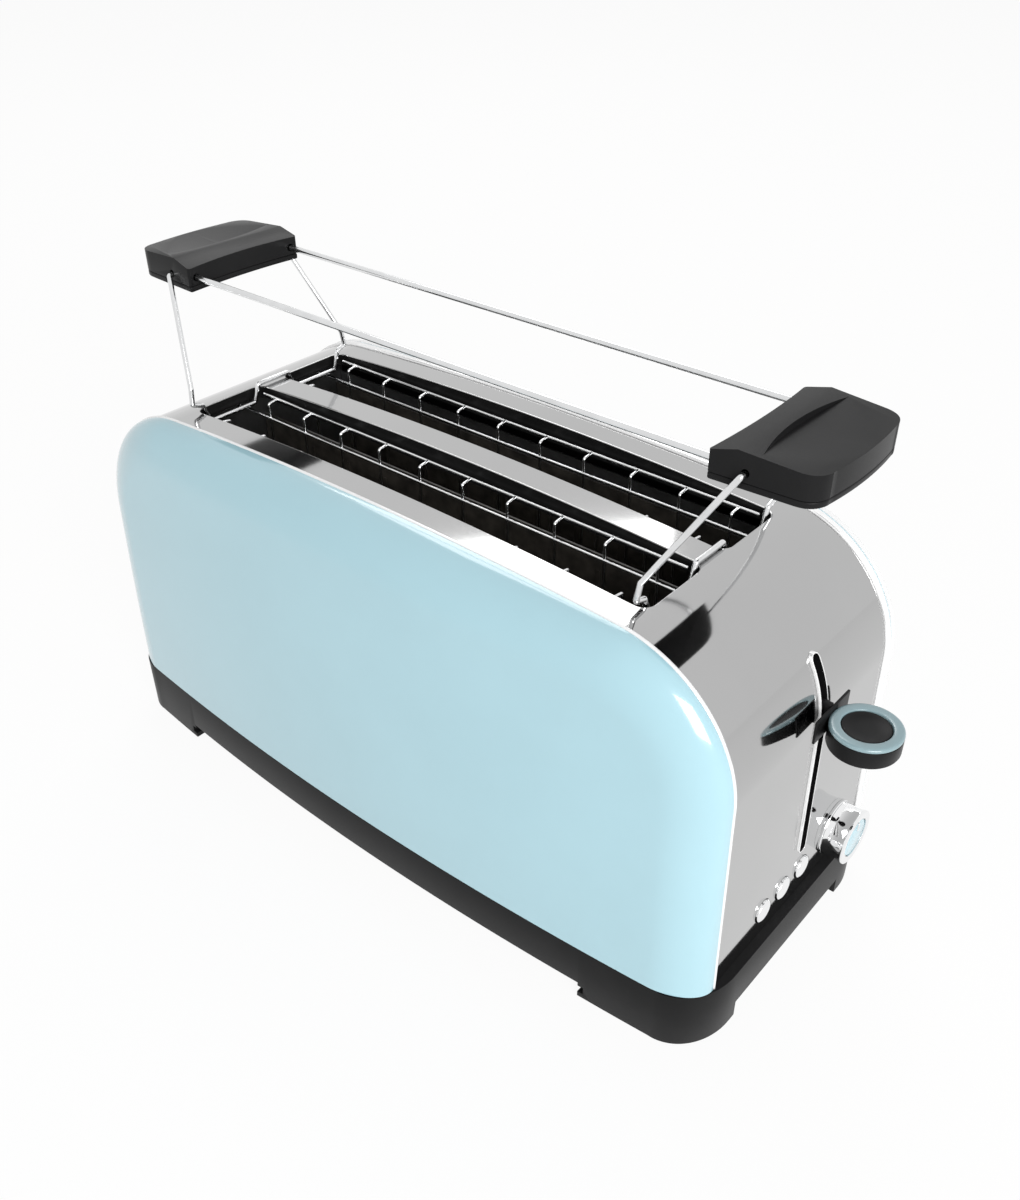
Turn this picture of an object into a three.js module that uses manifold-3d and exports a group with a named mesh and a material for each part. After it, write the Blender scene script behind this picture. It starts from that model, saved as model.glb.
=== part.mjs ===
// Long-slot toaster with a bun warming rack, as separate working pieces.
// Millimetres. X runs along the slots towards the controls, Y across them, Z up from the floor.
// The origin is on the floor, under the middle of the whole object, knob included; the sizes below
// count from the middle of the body, and every piece is moved by CENTRE_X when it is added.
// The photographed side is towards -Y.
import * as THREE from 'three';
import Module from 'manifold-3d';
import { mergeVertices } from 'three/addons/utils/BufferGeometryUtils.js';

const wasm = await Module();
wasm.setup();

// Gap left between two pieces that touch
const GAP = 0.3;

// Stainless wrap: an arch along X, open to the sides
const WRAP_LENGTH = 390;
const WRAP_WIDTH = 125.2;
const WRAP_WALL = 1;
const CROWN_HEIGHT = 201.5;
const CROWN_RADIUS = 2180;
const SHOULDER_RADIUS = 62;

// Bread slots
const SLOT_LENGTH = 279.4;
const SLOT_WIDTH = 41.6;
const SLOT_SPACING = 56.6;
const SLOT_CORNER = 6;
const LIP_DEPTH = 10.5;

// Chrome edge trims and painted side panels
const TRIM_WIDTH = 3.6;
const TRIM_PROUD = 1.3;
const TRIM_DEPTH = 3.5;
const TRIM_ROUND = 1.2;
const PANEL_PROUD = 1;
const PANEL_WALL = 2.4;
const PANEL_ROUND = 23;
const PANEL_LEAN = 5;

// Base skirt
const SKIRT_TOP = 33;
const SKIRT_LEDGE = 6.8;
const SKIRT_WIDTH = 181.4;
const SIDE_BOW_RADIUS = 1777;
const CORNER_LENGTH = 23.8;
const CORNER_WIDTH = 29.8;
const SKIRT_WALL = 3;
const SKIRT_DECK = 3.5;
const DECK_MARGIN_X = 21.8;
const DECK_MARGIN_Y = 4.6;
const UNDERSIDE_HEIGHT = 10.1;
const FOOT_LENGTH = 60.8;
const FOOT_WIDTH = 43.2;
const FOOT_FLOOR = 4;
const PAD_PROUD = 1;
const PAD_RADIUS = 10;
const PAD_RECESS = 2;
const PAD_INSET_X = 36;
const PAD_INSET_Y = 26;
const BOTTOM_SHEET = 1.5;

// Inner chassis and heaters
const CHASSIS_MARGIN = 7.8;
const CHASSIS_SHEET = 1;
const CHASSIS_DROP = 11.5;
const CHASSIS_SIDE_MARGIN = 4.6;
const TAB_LENGTH = 1.2;
const TAB_HEIGHT = 10;
const TAB_RISE = 90;
const SHIELD_SHEET = 0.8;
const SHIELD_RISE = 18;
const SHIELD_DROP = 19.5;
const BOARD_SHEET = 1;
const BOARD_OFFSET = 53;
const BOARD_RISE = 24;
const BOARD_DROP = 25.5;
const RIBBON_WIDTH = 2;
const RIBBON_RELIEF = 0.5;
const RIBBON_MARGIN = 8;

// Bread guards: wire grids that keep the bread off the heaters
const GUARD_WIRE_RADIUS = 1;
const GUARD_HALF_GAP = 12.3;
const GUARD_FLARE = 6.3;
const GUARD_TOP_DROP = 6.5;
const GUARD_RAIL_DROP = 15.5;
const GUARD_BEND_DROP = 10.3;
const GUARD_BOTTOM_HEIGHT = 46;
const GUARD_TOP_END_MARGIN = 6.7;
const UPRIGHT_SPACING = 27.25;
const UPRIGHT_COUNT = 10;

// Carriage: racks, bracket, rods and spring
const TRAVEL_DOWN = 68;
const TRAVEL_UP = 12;
const RACK_REST_HEIGHT = 117.4;
const RACK_BAR_HEIGHT = 8.4;
const RACK_BAR_SHEET = 1.2;
const PRONG_REACH = 9;
const PRONG_HEIGHT = 1.9;
const BAR_CLEARANCE = 1;
const BRACKET_STANDOFF = 4.5;
const BRACKET_SHEET = 1.5;
const BRACKET_HALF_WIDTH = 31;
const BRACKET_HEIGHT = 41;
const ROD_RADIUS = 2;
const ROD_OFFSET_X = 5.6;
const ROD_OFFSET_Y = 20;
const SLEEVE_WALL = 2.2;
const SLEEVE_HEIGHT = 22;
const SHELF_DROP = 14;
const SHELF_LENGTH = 21.5;
const SHELF_HALF_WIDTH = 27;
const BRACKET_FLANGE_LENGTH = 17;
const BRACKET_FLANGE_HALF_WIDTH = 17;
const BRACKET_FLANGE_RISE = 2.5;
const ARMATURE_LENGTH = 14.5;
const ARMATURE_WIDTH = 24;
const ARMATURE_SHEET = 1.7;
const SPRING_RADIUS = 3.4;
const SPRING_WIRE_RADIUS = 0.6;
const SPRING_TURNS = 10;
const SPRING_OFFSET_Y = -9.5;

// Electromagnet that holds the carriage down
const MAGNET_LENGTH = 21;
const MAGNET_WIDTH = 28;
const MAGNET_BASE = 4;
const MAGNET_COIL_RADIUS = 6.3;
const MAGNET_POLE = 7;
const MAGNET_AIR_GAP = 0.4;

// Lever and its slot in the end wall
const CONTROL_Y = 5;
const LEVER_SLOT_WIDTH = 7.4;
const LEVER_SLOT_BOTTOM = 62.5;
const LEVER_SLOT_TOP = 166;
const BEZEL_RIM = 1.1;
const BEZEL_PROUD = 1.5;
const BEZEL_SLEEVE = 0.5;
const BEZEL_SLEEVE_DEPTH = 3;
const ARM_THICKNESS = 4;
const ARM_BOTTOM = 136;
const ARM_HEIGHT = 12;
const CROSSBAR_STANDOFF = 1.9;
const CROSSBAR_SHEET = 1.3;
const CROSSBAR_WIDTH = 28.5;
const CROSSBAR_HEIGHT = 11.4;
const TONGUE_LENGTH = 13;
const TONGUE_WIDTH = 9;
const TONGUE_THICKNESS = 2.6;
const KNOB_RADIUS = 15.3;
const KNOB_RISE = 1.8;
const KNOB_THICKNESS = 7.3;
const KNOB_REACH = 18.9;
const KNOB_HUB_RADIUS = 10.2;
const RING_THICKNESS = 1.7;
const RING_ROUND = 0.8;

// Browning dial and push buttons
const DIAL_Y = 39;
const DIAL_HEIGHT = 51.2;
const DIAL_RADIUS = 14;
const DIAL_LENGTH = 13;
const DIAL_COLLAR = 3.4;
const DIAL_GROOVE = 0.5;
const DIAL_WAIST_RADIUS = 12.6;
const DIAL_LIP = 2.2;
const DIAL_FACE_RADIUS = 9.6;
const DIAL_FACE_DEPTH = 1.6;
const POINTER_WIDTH = 1.2;
const POINTER_HEIGHT = 0.5;
const SHAFT_RADIUS = 3;
const BUTTON_SPACING = 17.3;
const BUTTON_MIDDLE_Y = -8.1;
const BUTTON_COUNT = 3;
const BUTTON_HEIGHT = 48;
const BUTTON_RADIUS = 5.75;
const BUTTON_PROUD = 2.2;
const BUTTON_ROUND = 0.7;
const BUTTON_FLANGE = 1.2;
const BUTTON_FLANGE_SHEET = 1.5;
const BUTTON_STEM_RADIUS = 2.4;
const BUTTON_TRAVEL = 2;
const BUTTON_CLEARANCE = 1;
const CIRCUIT_SHEET = 1.6;
const CIRCUIT_HEIGHT = 29;
const CIRCUIT_MARGIN = 14;
const SWITCH_DEPTH = 5;
const SWITCH_SIZE = 11;
const POT_SIZE = 16;

// Crumb tray and cord inlet
const TRAY_LENGTH = 316;
const TRAY_WIDTH = 92;
const TRAY_DEPTH = 8;
const TRAY_SHEET = 1;
const TRAY_WINDOW_TOP = 24;
const GRIP_THICKNESS = 5.6;
const GRIP_RECESS = 3;
const GLAND_X = -120;
const GLAND_HEIGHT = 21.5;
const GLAND_RADIUS = 5.2;
const GLAND_FLANGE_RADIUS = 7.5;
const GLAND_FLANGE = 3;
const GLAND_LENGTH = 12;
const GLAND_BORE_RADIUS = 3.3;

// Bun rack on top
const RACK_SHIFT = 2;
const RAIL_HEIGHT = 259;
const RAIL_SPACING = 60.6;
const RAIL_RADIUS = 1.5;
const RAIL_SEAT = 9;
const HANDLE_INNER = 149;
const HANDLE_LENGTH = 45.2;
const HANDLE_INNER_SAG = 2;
const HANDLE_OUTER_SAG = 3;
const HANDLE_WIDTH = 69.2;
const HANDLE_TAPER = 2;
const HANDLE_CORNER = 7;
const HANDLE_BELOW_RAIL = 6.6;
const HANDLE_ABOVE_RAIL = 4.3;
const HANDLE_CREST_RISE = 2.5;
const HANDLE_CREST = 11.4;
const HANDLE_FALL = 0.5;
const COVER_THICKNESS = 2.7;
const COVER_POST_RADIUS = 3;
const COVER_POST_SPACING = 40;
const SCOOP_DEPTH = 2.8;
const SCOOP_RUN = 11;
const SCOOP_HALF_CHORD = 33;
const SCOOP_START = 15.6;
const SCOOP_SAG = 5.5;
const CAVITY_START = 20;
const CAVITY_HEIGHT = 5.6;
const CAVITY_HALF_WIDTH = 27.5;
const CAVITY_END_WALL = 5;
const LEG_RADIUS = 1.3;
const LEG_SEAT = 7;
const LEG_PIVOT = 15.2;
const LEG_REACH = 136.8;
const LEG_OUT = 2;
const LEG_KNEE_Y = 50;
const LEG_KNEE_RISE = 8;
const LEG_TOE_Y = 53;
const LEG_HEEL_Y = 46;
const LEG_DROP_Y = 43.6;
const LEG_DROP = 9.2;
const LEG_BUMP_Y = 10.6;
const LEG_BUMP_FOOT_Y = 13.2;
const LEG_BEND = 1.6;

// How finely curves are cut
const SHOULDER_STEPS = 10;
const CROWN_STEPS = 5;
const CORNER_STEPS = 5;
const SIDE_STEPS = 6;
const WIRE_SIDES = 8;
const THIN_WIRE_SIDES = 5;
const ROUND_SIDES = 40;
const SMALL_SIDES = 16;
const SCOOP_SIDES = 160;
const PANEL_COLUMNS = 30;
const PANEL_ROWS = 11;
const COIL_STEPS = 8;
const COIL_SIDES = 5;
const BEND_STEPS = 2;
const MERGE_TOLERANCE = 1e-4;

// Heights and half sizes that follow from the above
const WRAP_END = WRAP_LENGTH / 2;
const WRAP_SIDE = WRAP_WIDTH / 2;
const WRAP_FOOT = SKIRT_TOP + GAP;
const CROWN_CENTRE = CROWN_HEIGHT - CROWN_RADIUS;
const SHOULDER_X = WRAP_END - SHOULDER_RADIUS;
const SHOULDER_REACH = CROWN_RADIUS - SHOULDER_RADIUS;
const SHOULDER_Z = CROWN_CENTRE + Math.sqrt(SHOULDER_REACH ** 2 - SHOULDER_X ** 2);
const CROWN_ANGLE = Math.asin(SHOULDER_X / SHOULDER_REACH);
const SKIRT_END = WRAP_END + SKIRT_LEDGE;
const SKIRT_SIDE = SKIRT_WIDTH / 2;
const TRIM_START = WRAP_SIDE + GAP;
const PANEL_START = TRIM_START + TRIM_WIDTH + GAP;
const PAD_TOP = PAD_PROUD + PAD_RECESS;
const FOOT_TOP = PAD_PROUD + FOOT_FLOOR;
const BOTTOM_PLATE = [UNDERSIDE_HEIGHT + GAP, UNDERSIDE_HEIGHT + GAP + BOTTOM_SHEET];
const INNER_FLOOR = BOTTOM_PLATE[1] + GAP;
const SLOT_END = SLOT_LENGTH / 2;
const SLOT_Y = SLOT_SPACING / 2;
const CHASSIS_INNER = SLOT_END + CHASSIS_MARGIN;
const CHASSIS_OUTER = CHASSIS_INNER + CHASSIS_SHEET;
const CHASSIS_SIDE = WRAP_SIDE - CHASSIS_SIDE_MARGIN;
const CHASSIS_TOP = CROWN_HEIGHT - CHASSIS_DROP;
const SHELF_HEIGHT = CHASSIS_TOP - SHELF_DROP;
const TAB_BOTTOM = INNER_FLOOR + TAB_RISE;
const SHIELD_Y = CHASSIS_SIDE - SHIELD_SHEET;
const GUARD_RAIL_HEIGHT = CROWN_HEIGHT - GUARD_RAIL_DROP;
const BRACKET_X = CHASSIS_OUTER + BRACKET_STANDOFF;
const BRACKET_FACE = BRACKET_X + BRACKET_SHEET;
const RACK_BAR_BOTTOM = RACK_REST_HEIGHT - RACK_BAR_HEIGHT;
const ROD_X = BRACKET_X + ROD_OFFSET_X;
const FLANGE_BOTTOM = RACK_BAR_BOTTOM + BRACKET_FLANGE_RISE;
const ARMATURE_BOTTOM = FLANGE_BOTTOM - GAP - ARMATURE_SHEET;
const WALL_X = WRAP_END - WRAP_WALL;
const ARM_TOP = ARM_BOTTOM + ARM_HEIGHT;
const KNOB_BOTTOM = ARM_BOTTOM + KNOB_RISE;
const KNOB_X = WRAP_END + KNOB_REACH;
const CENTRE_X = (KNOB_X + KNOB_RADIUS - SKIRT_END) / 2;
const CROSSBAR_X = WRAP_END + CROSSBAR_STANDOFF;
const CROSSBAR_FACE = CROSSBAR_X + CROSSBAR_SHEET;
const BUTTON_BACK = WALL_X - GAP - BUTTON_FLANGE_SHEET;
const SWITCH_FACE = BUTTON_BACK - BUTTON_TRAVEL - BUTTON_CLEARANCE;
const CIRCUIT_X = SWITCH_FACE - SWITCH_DEPTH - CIRCUIT_SHEET;
const TRAY_FLOOR = INNER_FLOOR;
const RAIL_Y = RAIL_SPACING / 2;
const HANDLE_BOTTOM = RAIL_HEIGHT - HANDLE_BELOW_RAIL;
const HANDLE_EDGE_HEIGHT = RAIL_HEIGHT + HANDLE_ABOVE_RAIL;
const HANDLE_CREST_HEIGHT = HANDLE_EDGE_HEIGHT + HANDLE_CREST_RISE;
const BODY_BOTTOM = HANDLE_BOTTOM + COVER_THICKNESS + GAP;
const PIVOT_REACH = HANDLE_INNER + LEG_PIVOT;

// Small sums used throughout

function middle(range) {
  return (range[0] + range[1]) / 2;
}

function around(centre, halfSize) {
  return [centre - halfSize, centre + halfSize];
}

function spaced(count, spacing) {
  return Array.from({ length: count }, (_, i) => (i - (count - 1) / 2) * spacing);
}

function between(start, end, share) {
  return start + (end - start) * share;
}

// Plain shapes, made where they belong

function box(x, y, z) {
  const shape = new THREE.BoxGeometry(x[1] - x[0], y[1] - y[0], z[1] - z[0]);
  return shape.translate(middle(x), middle(y), middle(z));
}

// The first two directions carry the outline, the third the length
const FRAMES = {
  x: [new THREE.Vector3(0, 1, 0), new THREE.Vector3(0, 0, 1), new THREE.Vector3(1, 0, 0)],
  y: [new THREE.Vector3(1, 0, 0), new THREE.Vector3(0, 0, 1), new THREE.Vector3(0, -1, 0)],
  z: [new THREE.Vector3(1, 0, 0), new THREE.Vector3(0, 1, 0), new THREE.Vector3(0, 0, 1)],
};

function prism(axis, outline, range) {
  const shape = new THREE.Shape(outline.map(([a, b]) => new THREE.Vector2(a, b)));
  const depth = range[1] - range[0];
  const body = new THREE.ExtrudeGeometry(shape, { depth, bevelEnabled: false, curveSegments: 1 });
  const [first, second, along] = FRAMES[axis];
  const start = axis === 'y' ? range[1] : range[0];
  body.applyMatrix4(new THREE.Matrix4().makeBasis(first, second, along));
  return body.translate(...{ x: [start, 0, 0], y: [0, start, 0], z: [0, 0, start] }[axis]);
}

function circle(centre, radius, sides) {
  return Array.from({ length: sides }, (_, i) => {
    const angle = (i / sides) * 2 * Math.PI;
    return [centre[0] + radius * Math.cos(angle), centre[1] + radius * Math.sin(angle)];
  });
}

function rod(axis, centre, radius, range, sides = SMALL_SIDES) {
  return prism(axis, circle(centre, radius, sides), range);
}

// Turned about X: the profile gives distance along X and radius, from the axis back to the axis
function turned(profile, y, z, sides = ROUND_SIDES) {
  const body = new THREE.LatheGeometry(profile.map(([x, r]) => new THREE.Vector2(r, x)), sides);
  return body.rotateZ(-Math.PI / 2).translate(0, y, z);
}

// Replaces each corner of an outline by a short curve
function roundCorners(points, radii, closed) {
  const rounded = [];
  points.forEach((point, i) => {
    const radius = Array.isArray(radii) ? radii[i] : radii;
    const isEnd = !closed && (i === 0 || i === points.length - 1);
    if (isEnd || radius === 0) {
      rounded.push(point);
      return;
    }
    const corner = new THREE.Vector3(...point);
    const before = new THREE.Vector3(...points[(i + points.length - 1) % points.length]).sub(corner);
    const after = new THREE.Vector3(...points[(i + 1) % points.length]).sub(corner);
    const half = before.angleTo(after) / 2;
    const cut = Math.min(radius / Math.tan(half), before.length() / 2, after.length() / 2);
    const start = corner.clone().addScaledVector(before.normalize(), cut);
    const end = corner.clone().addScaledVector(after.normalize(), cut);
    const bend = new THREE.QuadraticBezierCurve3(start, corner, end);
    rounded.push(...bend.getPoints(BEND_STEPS).map((p) => (point.length === 2 ? [p.x, p.y] : p.toArray())));
  });
  return rounded;
}

function roundedRectangle(a, b, radius) {
  const corners = [[a[0], b[0]], [a[1], b[0]], [a[1], b[1]], [a[0], b[1]]];
  const rounded = [];
  corners.forEach(([x, y], i) => {
    const centreX = x === a[0] ? x + radius : x - radius;
    const centreY = y === b[0] ? y + radius : y - radius;
    for (let step = 0; step <= CORNER_STEPS; step += 1) {
      const angle = (i - 2 + step / CORNER_STEPS) * (Math.PI / 2);
      rounded.push([centreX + radius * Math.cos(angle), centreY + radius * Math.sin(angle)]);
    }
  });
  return rounded;
}

// Wires follow their points exactly, with the section square to the bisector of each bend
class WirePath extends THREE.Curve {
  constructor(points) {
    super();
    this.points = points.map((p) => new THREE.Vector3(...p));
  }

  index(share) {
    return Math.round(share * (this.points.length - 1));
  }

  getPoint(share, target = new THREE.Vector3()) {
    return target.copy(this.points[this.index(share)]);
  }

  getPointAt(share, target) {
    return this.getPoint(share, target);
  }

  getTangent(share, target = new THREE.Vector3()) {
    const i = this.index(share);
    const last = this.points.length - 1;
    const here = this.points[i];
    const into = here.clone().sub(this.points[Math.max(i - 1, 0)]).normalize();
    const away = this.points[Math.min(i + 1, last)].clone().sub(here).normalize();
    return target.copy(into).add(away).normalize();
  }

  getTangentAt(share, target) {
    return this.getTangent(share, target);
  }
}

function wire(points, radius, sides) {
  const section = new THREE.Shape(circle([0, 0], radius, sides).map(([a, b]) => new THREE.Vector2(a, b)));
  return new THREE.ExtrudeGeometry(section, {
    steps: points.length - 1,
    extrudePath: new WirePath(points),
    curveSegments: 1,
  });
}

// A closed mesh from its corners and faces, turned so that its faces look outwards
function closedMesh(corners, faces) {
  const volume = faces.reduce((sum, [a, b, c]) => {
    const [p, q, r] = [a, b, c].map((i) => new THREE.Vector3(...corners[i]));
    return sum + p.dot(q.cross(r));
  }, 0);
  const outward = volume > 0 ? faces : faces.map(([a, b, c]) => [a, c, b]);
  const body = new THREE.BufferGeometry();
  body.setAttribute('position', new THREE.Float32BufferAttribute(corners.flat(), 3));
  body.setIndex(outward.flat());
  body.computeVertexNormals();
  return body;
}

// Solids and how they are joined and cut

function solid(geometry) {
  const shape = geometry.clone();
  shape.deleteAttribute('normal');
  shape.deleteAttribute('uv');
  const merged = mergeVertices(shape, MERGE_TOLERANCE);
  return new wasm.Manifold(new wasm.Mesh({
    numProp: 3,
    vertProperties: Float32Array.from(merged.attributes.position.array),
    triVerts: Uint32Array.from(merged.index.array),
  }));
}

function joined(geometries) {
  return geometries.map(solid).reduce((sum, next) => sum.add(next));
}

function cutBy(body, geometries) {
  return geometries.map(solid).reduce((left, tool) => left.subtract(tool), body);
}

function geometryOf(body) {
  const mesh = body.getMesh();
  const shape = new THREE.BufferGeometry();
  const points = Float32Array.from(mesh.vertProperties);
  shape.setAttribute('position', new THREE.BufferAttribute(points, mesh.numProp));
  shape.setIndex(new THREE.BufferAttribute(Uint32Array.from(mesh.triVerts), 1));
  shape.computeVertexNormals();
  return shape;
}

// The arch of the wrap, seen from the side, moved outwards by an offset

function archPoints(offset, foot) {
  const side = [[WRAP_END + offset, foot]];
  for (let i = 0; i <= SHOULDER_STEPS; i += 1) {
    const angle = (i / SHOULDER_STEPS) * (Math.PI / 2 - CROWN_ANGLE);
    const radius = SHOULDER_RADIUS + offset;
    side.push([SHOULDER_X + radius * Math.cos(angle), SHOULDER_Z + radius * Math.sin(angle)]);
  }
  for (let i = 1; i < CROWN_STEPS; i += 1) {
    const angle = CROWN_ANGLE * (1 - i / CROWN_STEPS);
    const radius = CROWN_RADIUS + offset;
    side.push([radius * Math.sin(angle), CROWN_CENTRE + radius * Math.cos(angle)]);
  }
  const mirrored = side.map(([x, z]) => [-x, z]).reverse();
  return [...side, [0, CROWN_HEIGHT + offset], ...mirrored];
}

function archHeight(x, offset = 0) {
  const reach = Math.abs(x);
  const onCrown = Math.sin(CROWN_ANGLE) * (CROWN_RADIUS + offset);
  if (reach <= onCrown) {
    return CROWN_CENTRE + Math.sqrt((CROWN_RADIUS + offset) ** 2 - reach ** 2);
  }
  const rest = Math.max((SHOULDER_RADIUS + offset) ** 2 - (reach - SHOULDER_X) ** 2, 0);
  return SHOULDER_Z + Math.sqrt(rest);
}

function archBlock(offset, y, foot = WRAP_FOOT) {
  return solid(prism('y', archPoints(offset, foot), y));
}

// A closed section, given as offset from the arch and place along Y, carried round the arch
function archSweep(outline, foot) {
  const flat = outline.map(([a, b]) => new THREE.Vector2(a, b));
  const section = THREE.ShapeUtils.area(flat) > 0 ? outline : [...outline].reverse();
  const rings = section.map(([offset, y]) => archPoints(offset, foot).map(([x, z]) => [x, y, z]));
  const count = rings[0].length;
  const corners = rings.flat();
  const faces = [];
  rings.forEach((_, k) => {
    const here = k * count;
    const next = ((k + 1) % rings.length) * count;
    for (let i = 0; i < count - 1; i += 1) {
      faces.push([here + i, next + i, next + i + 1], [here + i, next + i + 1, here + i + 1]);
    }
  });
  const cap = THREE.ShapeUtils.triangulateShape(section.map(([a, b]) => new THREE.Vector2(a, b)), []);
  cap.forEach(([a, b, c]) => {
    faces.push([a * count, c * count, b * count]);
    faces.push([(a + 1) * count - 1, (b + 1) * count - 1, (c + 1) * count - 1]);
  });
  return closedMesh(corners, faces);
}

// The outline of the base seen from above, moved inwards by an inset

function bowedSide(x) {
  return SKIRT_SIDE - x ** 2 / (2 * SIDE_BOW_RADIUS);
}

function skirtOutline(inset) {
  const cornerX = SKIRT_END - CORNER_LENGTH;
  const cornerY = bowedSide(cornerX) - CORNER_WIDTH;
  const quarter = [];
  for (let i = 0; i <= CORNER_STEPS; i += 1) {
    const angle = (i / CORNER_STEPS) * (Math.PI / 2);
    const x = cornerX + (CORNER_LENGTH - inset) * Math.cos(angle);
    quarter.push([x, cornerY + (CORNER_WIDTH - inset) * Math.sin(angle)]);
  }
  for (let i = 1; i < SIDE_STEPS; i += 1) {
    const x = cornerX * (1 - i / SIDE_STEPS);
    quarter.push([x, bowedSide(x) - inset]);
  }
  const half = [...quarter, [0, SKIRT_SIDE - inset], ...quarter.map(([x, y]) => [-x, y]).reverse()];
  return [...half, ...half.map(([x, y]) => [x, -y]).reverse()];
}

const group = new THREE.Group();
group.name = 'long_slot_toaster';

const FINISHES = {
  stainless: { color: 0x9a9c9e, metalness: 1, roughness: 0.16 },
  chrome: { color: 0xd8dadc, metalness: 1, roughness: 0.05 },
  bluePaint: { color: 0xa6cbd3, metalness: 0, roughness: 0.12 },
  blackPlastic: { color: 0x1d1d1f, metalness: 0, roughness: 0.35 },
  handlePlastic: { color: 0x333335, metalness: 0, roughness: 0.45 },
  plainSteel: { color: 0x5c5e60, metalness: 1, roughness: 0.4 },
  mica: { color: 0x8d8470, metalness: 0, roughness: 0.8 },
  rubber: { color: 0x141414, metalness: 0, roughness: 0.9 },
  circuitGreen: { color: 0x23462f, metalness: 0, roughness: 0.5 },
  copper: { color: 0x9a5b34, metalness: 1, roughness: 0.4 },
};

function addPart(name, geometry, finish) {
  geometry.translate(-CENTRE_X, 0, 0);
  const mesh = new THREE.Mesh(geometry, new THREE.MeshStandardMaterial({ ...FINISHES[finish] }));
  mesh.name = name;
  group.add(mesh);
}

const SIDES = [
  { name: 'front', sign: -1 },
  { name: 'rear', sign: 1 },
];

const ENDS = [
  { name: 'control', sign: 1 },
  { name: 'tray', sign: -1 },
];

// Where things sit along the controls wall

function leverSlot(margin) {
  const y = around(CONTROL_Y, LEVER_SLOT_WIDTH / 2 + margin);
  const z = [LEVER_SLOT_BOTTOM - margin, LEVER_SLOT_TOP + margin];
  return prism('x', roundedRectangle(y, z, (y[1] - y[0]) / 2 - GAP), [SHOULDER_X, SKIRT_END]);
}

function buttonRows() {
  return spaced(BUTTON_COUNT, BUTTON_SPACING).map((offset) => BUTTON_MIDDLE_Y + offset);
}

// Stainless wrap with turned-down slot lips

function slotPrism(sign, margin, z) {
  const y = around(sign * SLOT_Y, SLOT_WIDTH / 2 + margin);
  return prism('z', roundedRectangle(around(0, SLOT_END + margin), y, SLOT_CORNER + margin), z);
}

function bodyWrap() {
  const wide = around(0, WRAP_WIDTH);
  const lipBottom = CROWN_HEIGHT - LIP_DEPTH;
  const above = CROWN_HEIGHT + LIP_DEPTH;
  const block = archBlock(0, around(0, WRAP_SIDE));
  const shell = block.subtract(archBlock(-WRAP_WALL, wide, SKIRT_TOP - SKIRT_DECK));
  const lips = joined(SIDES.map(({ sign }) => slotPrism(sign, WRAP_WALL, [lipBottom, above])));
  const holes = [
    ...SIDES.map(({ sign }) => slotPrism(sign, 0, [SHOULDER_Z, above])),
    leverSlot(BEZEL_SLEEVE + GAP),
    rod('x', [DIAL_Y, DIAL_HEIGHT], SHAFT_RADIUS + GAP, [SHOULDER_X, SKIRT_END]),
    ...buttonRows().map((y) => rod('x', [y, BUTTON_HEIGHT], BUTTON_RADIUS + GAP, [SHOULDER_X, SKIRT_END])),
  ];
  return geometryOf(cutBy(shell.add(lips.intersect(block)), holes));
}

function edgeTrim(sign) {
  const out = TRIM_PROUD;
  const near = sign * TRIM_START;
  const far = sign * (TRIM_START + TRIM_WIDTH);
  const corners = [[-TRIM_DEPTH, near], [out, near], [out, far], [-TRIM_DEPTH, far]];
  return archSweep(roundCorners(corners, [0, TRIM_ROUND, TRIM_ROUND, 0], true), WRAP_FOOT);
}

// Side panel: a shell whose edge follows the arch and whose face swells out to the base outline

function panelFace(sign, inset) {
  const proud = PANEL_PROUD - inset;
  const end = WRAP_END + proud;
  const rows = [];
  for (let j = 0; j <= PANEL_ROWS; j += 1) {
    const rise = Math.sin((j / PANEL_ROWS) * (Math.PI / 2));
    for (let i = 0; i <= PANEL_COLUMNS; i += 1) {
      const x = end * Math.sin((i / PANEL_COLUMNS - 1 / 2) * Math.PI);
      const z = between(WRAP_FOOT, archHeight(x, proud), rise);
      rows.push([x, sign * panelDepth(x, z, proud, inset), z]);
    }
  }
  return rows;
}

function edgeDistance(x, z, proud) {
  const reach = Math.abs(x);
  const toCrown = CROWN_RADIUS + proud - Math.hypot(reach, z - CROWN_CENTRE);
  const toEnd = WRAP_END + proud - reach;
  if (reach > SHOULDER_X && z > SHOULDER_Z) {
    return SHOULDER_RADIUS + proud - Math.hypot(reach - SHOULDER_X, z - SHOULDER_Z);
  }
  return Math.min(toCrown, toEnd);
}

function panelDepth(x, z, proud, inset) {
  const edge = Math.max(edgeDistance(x, z, proud), 0);
  const share = Math.min(edge / (PANEL_ROUND - inset), 1);
  const swell = Math.sqrt(1 - (1 - share) ** 2);
  const lean = PANEL_LEAN * ((z - SKIRT_TOP) / (CROWN_HEIGHT - SKIRT_TOP)) ** 2;
  const full = bowedSide(x) - lean - inset;
  return between(PANEL_START, full, swell);
}

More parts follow.
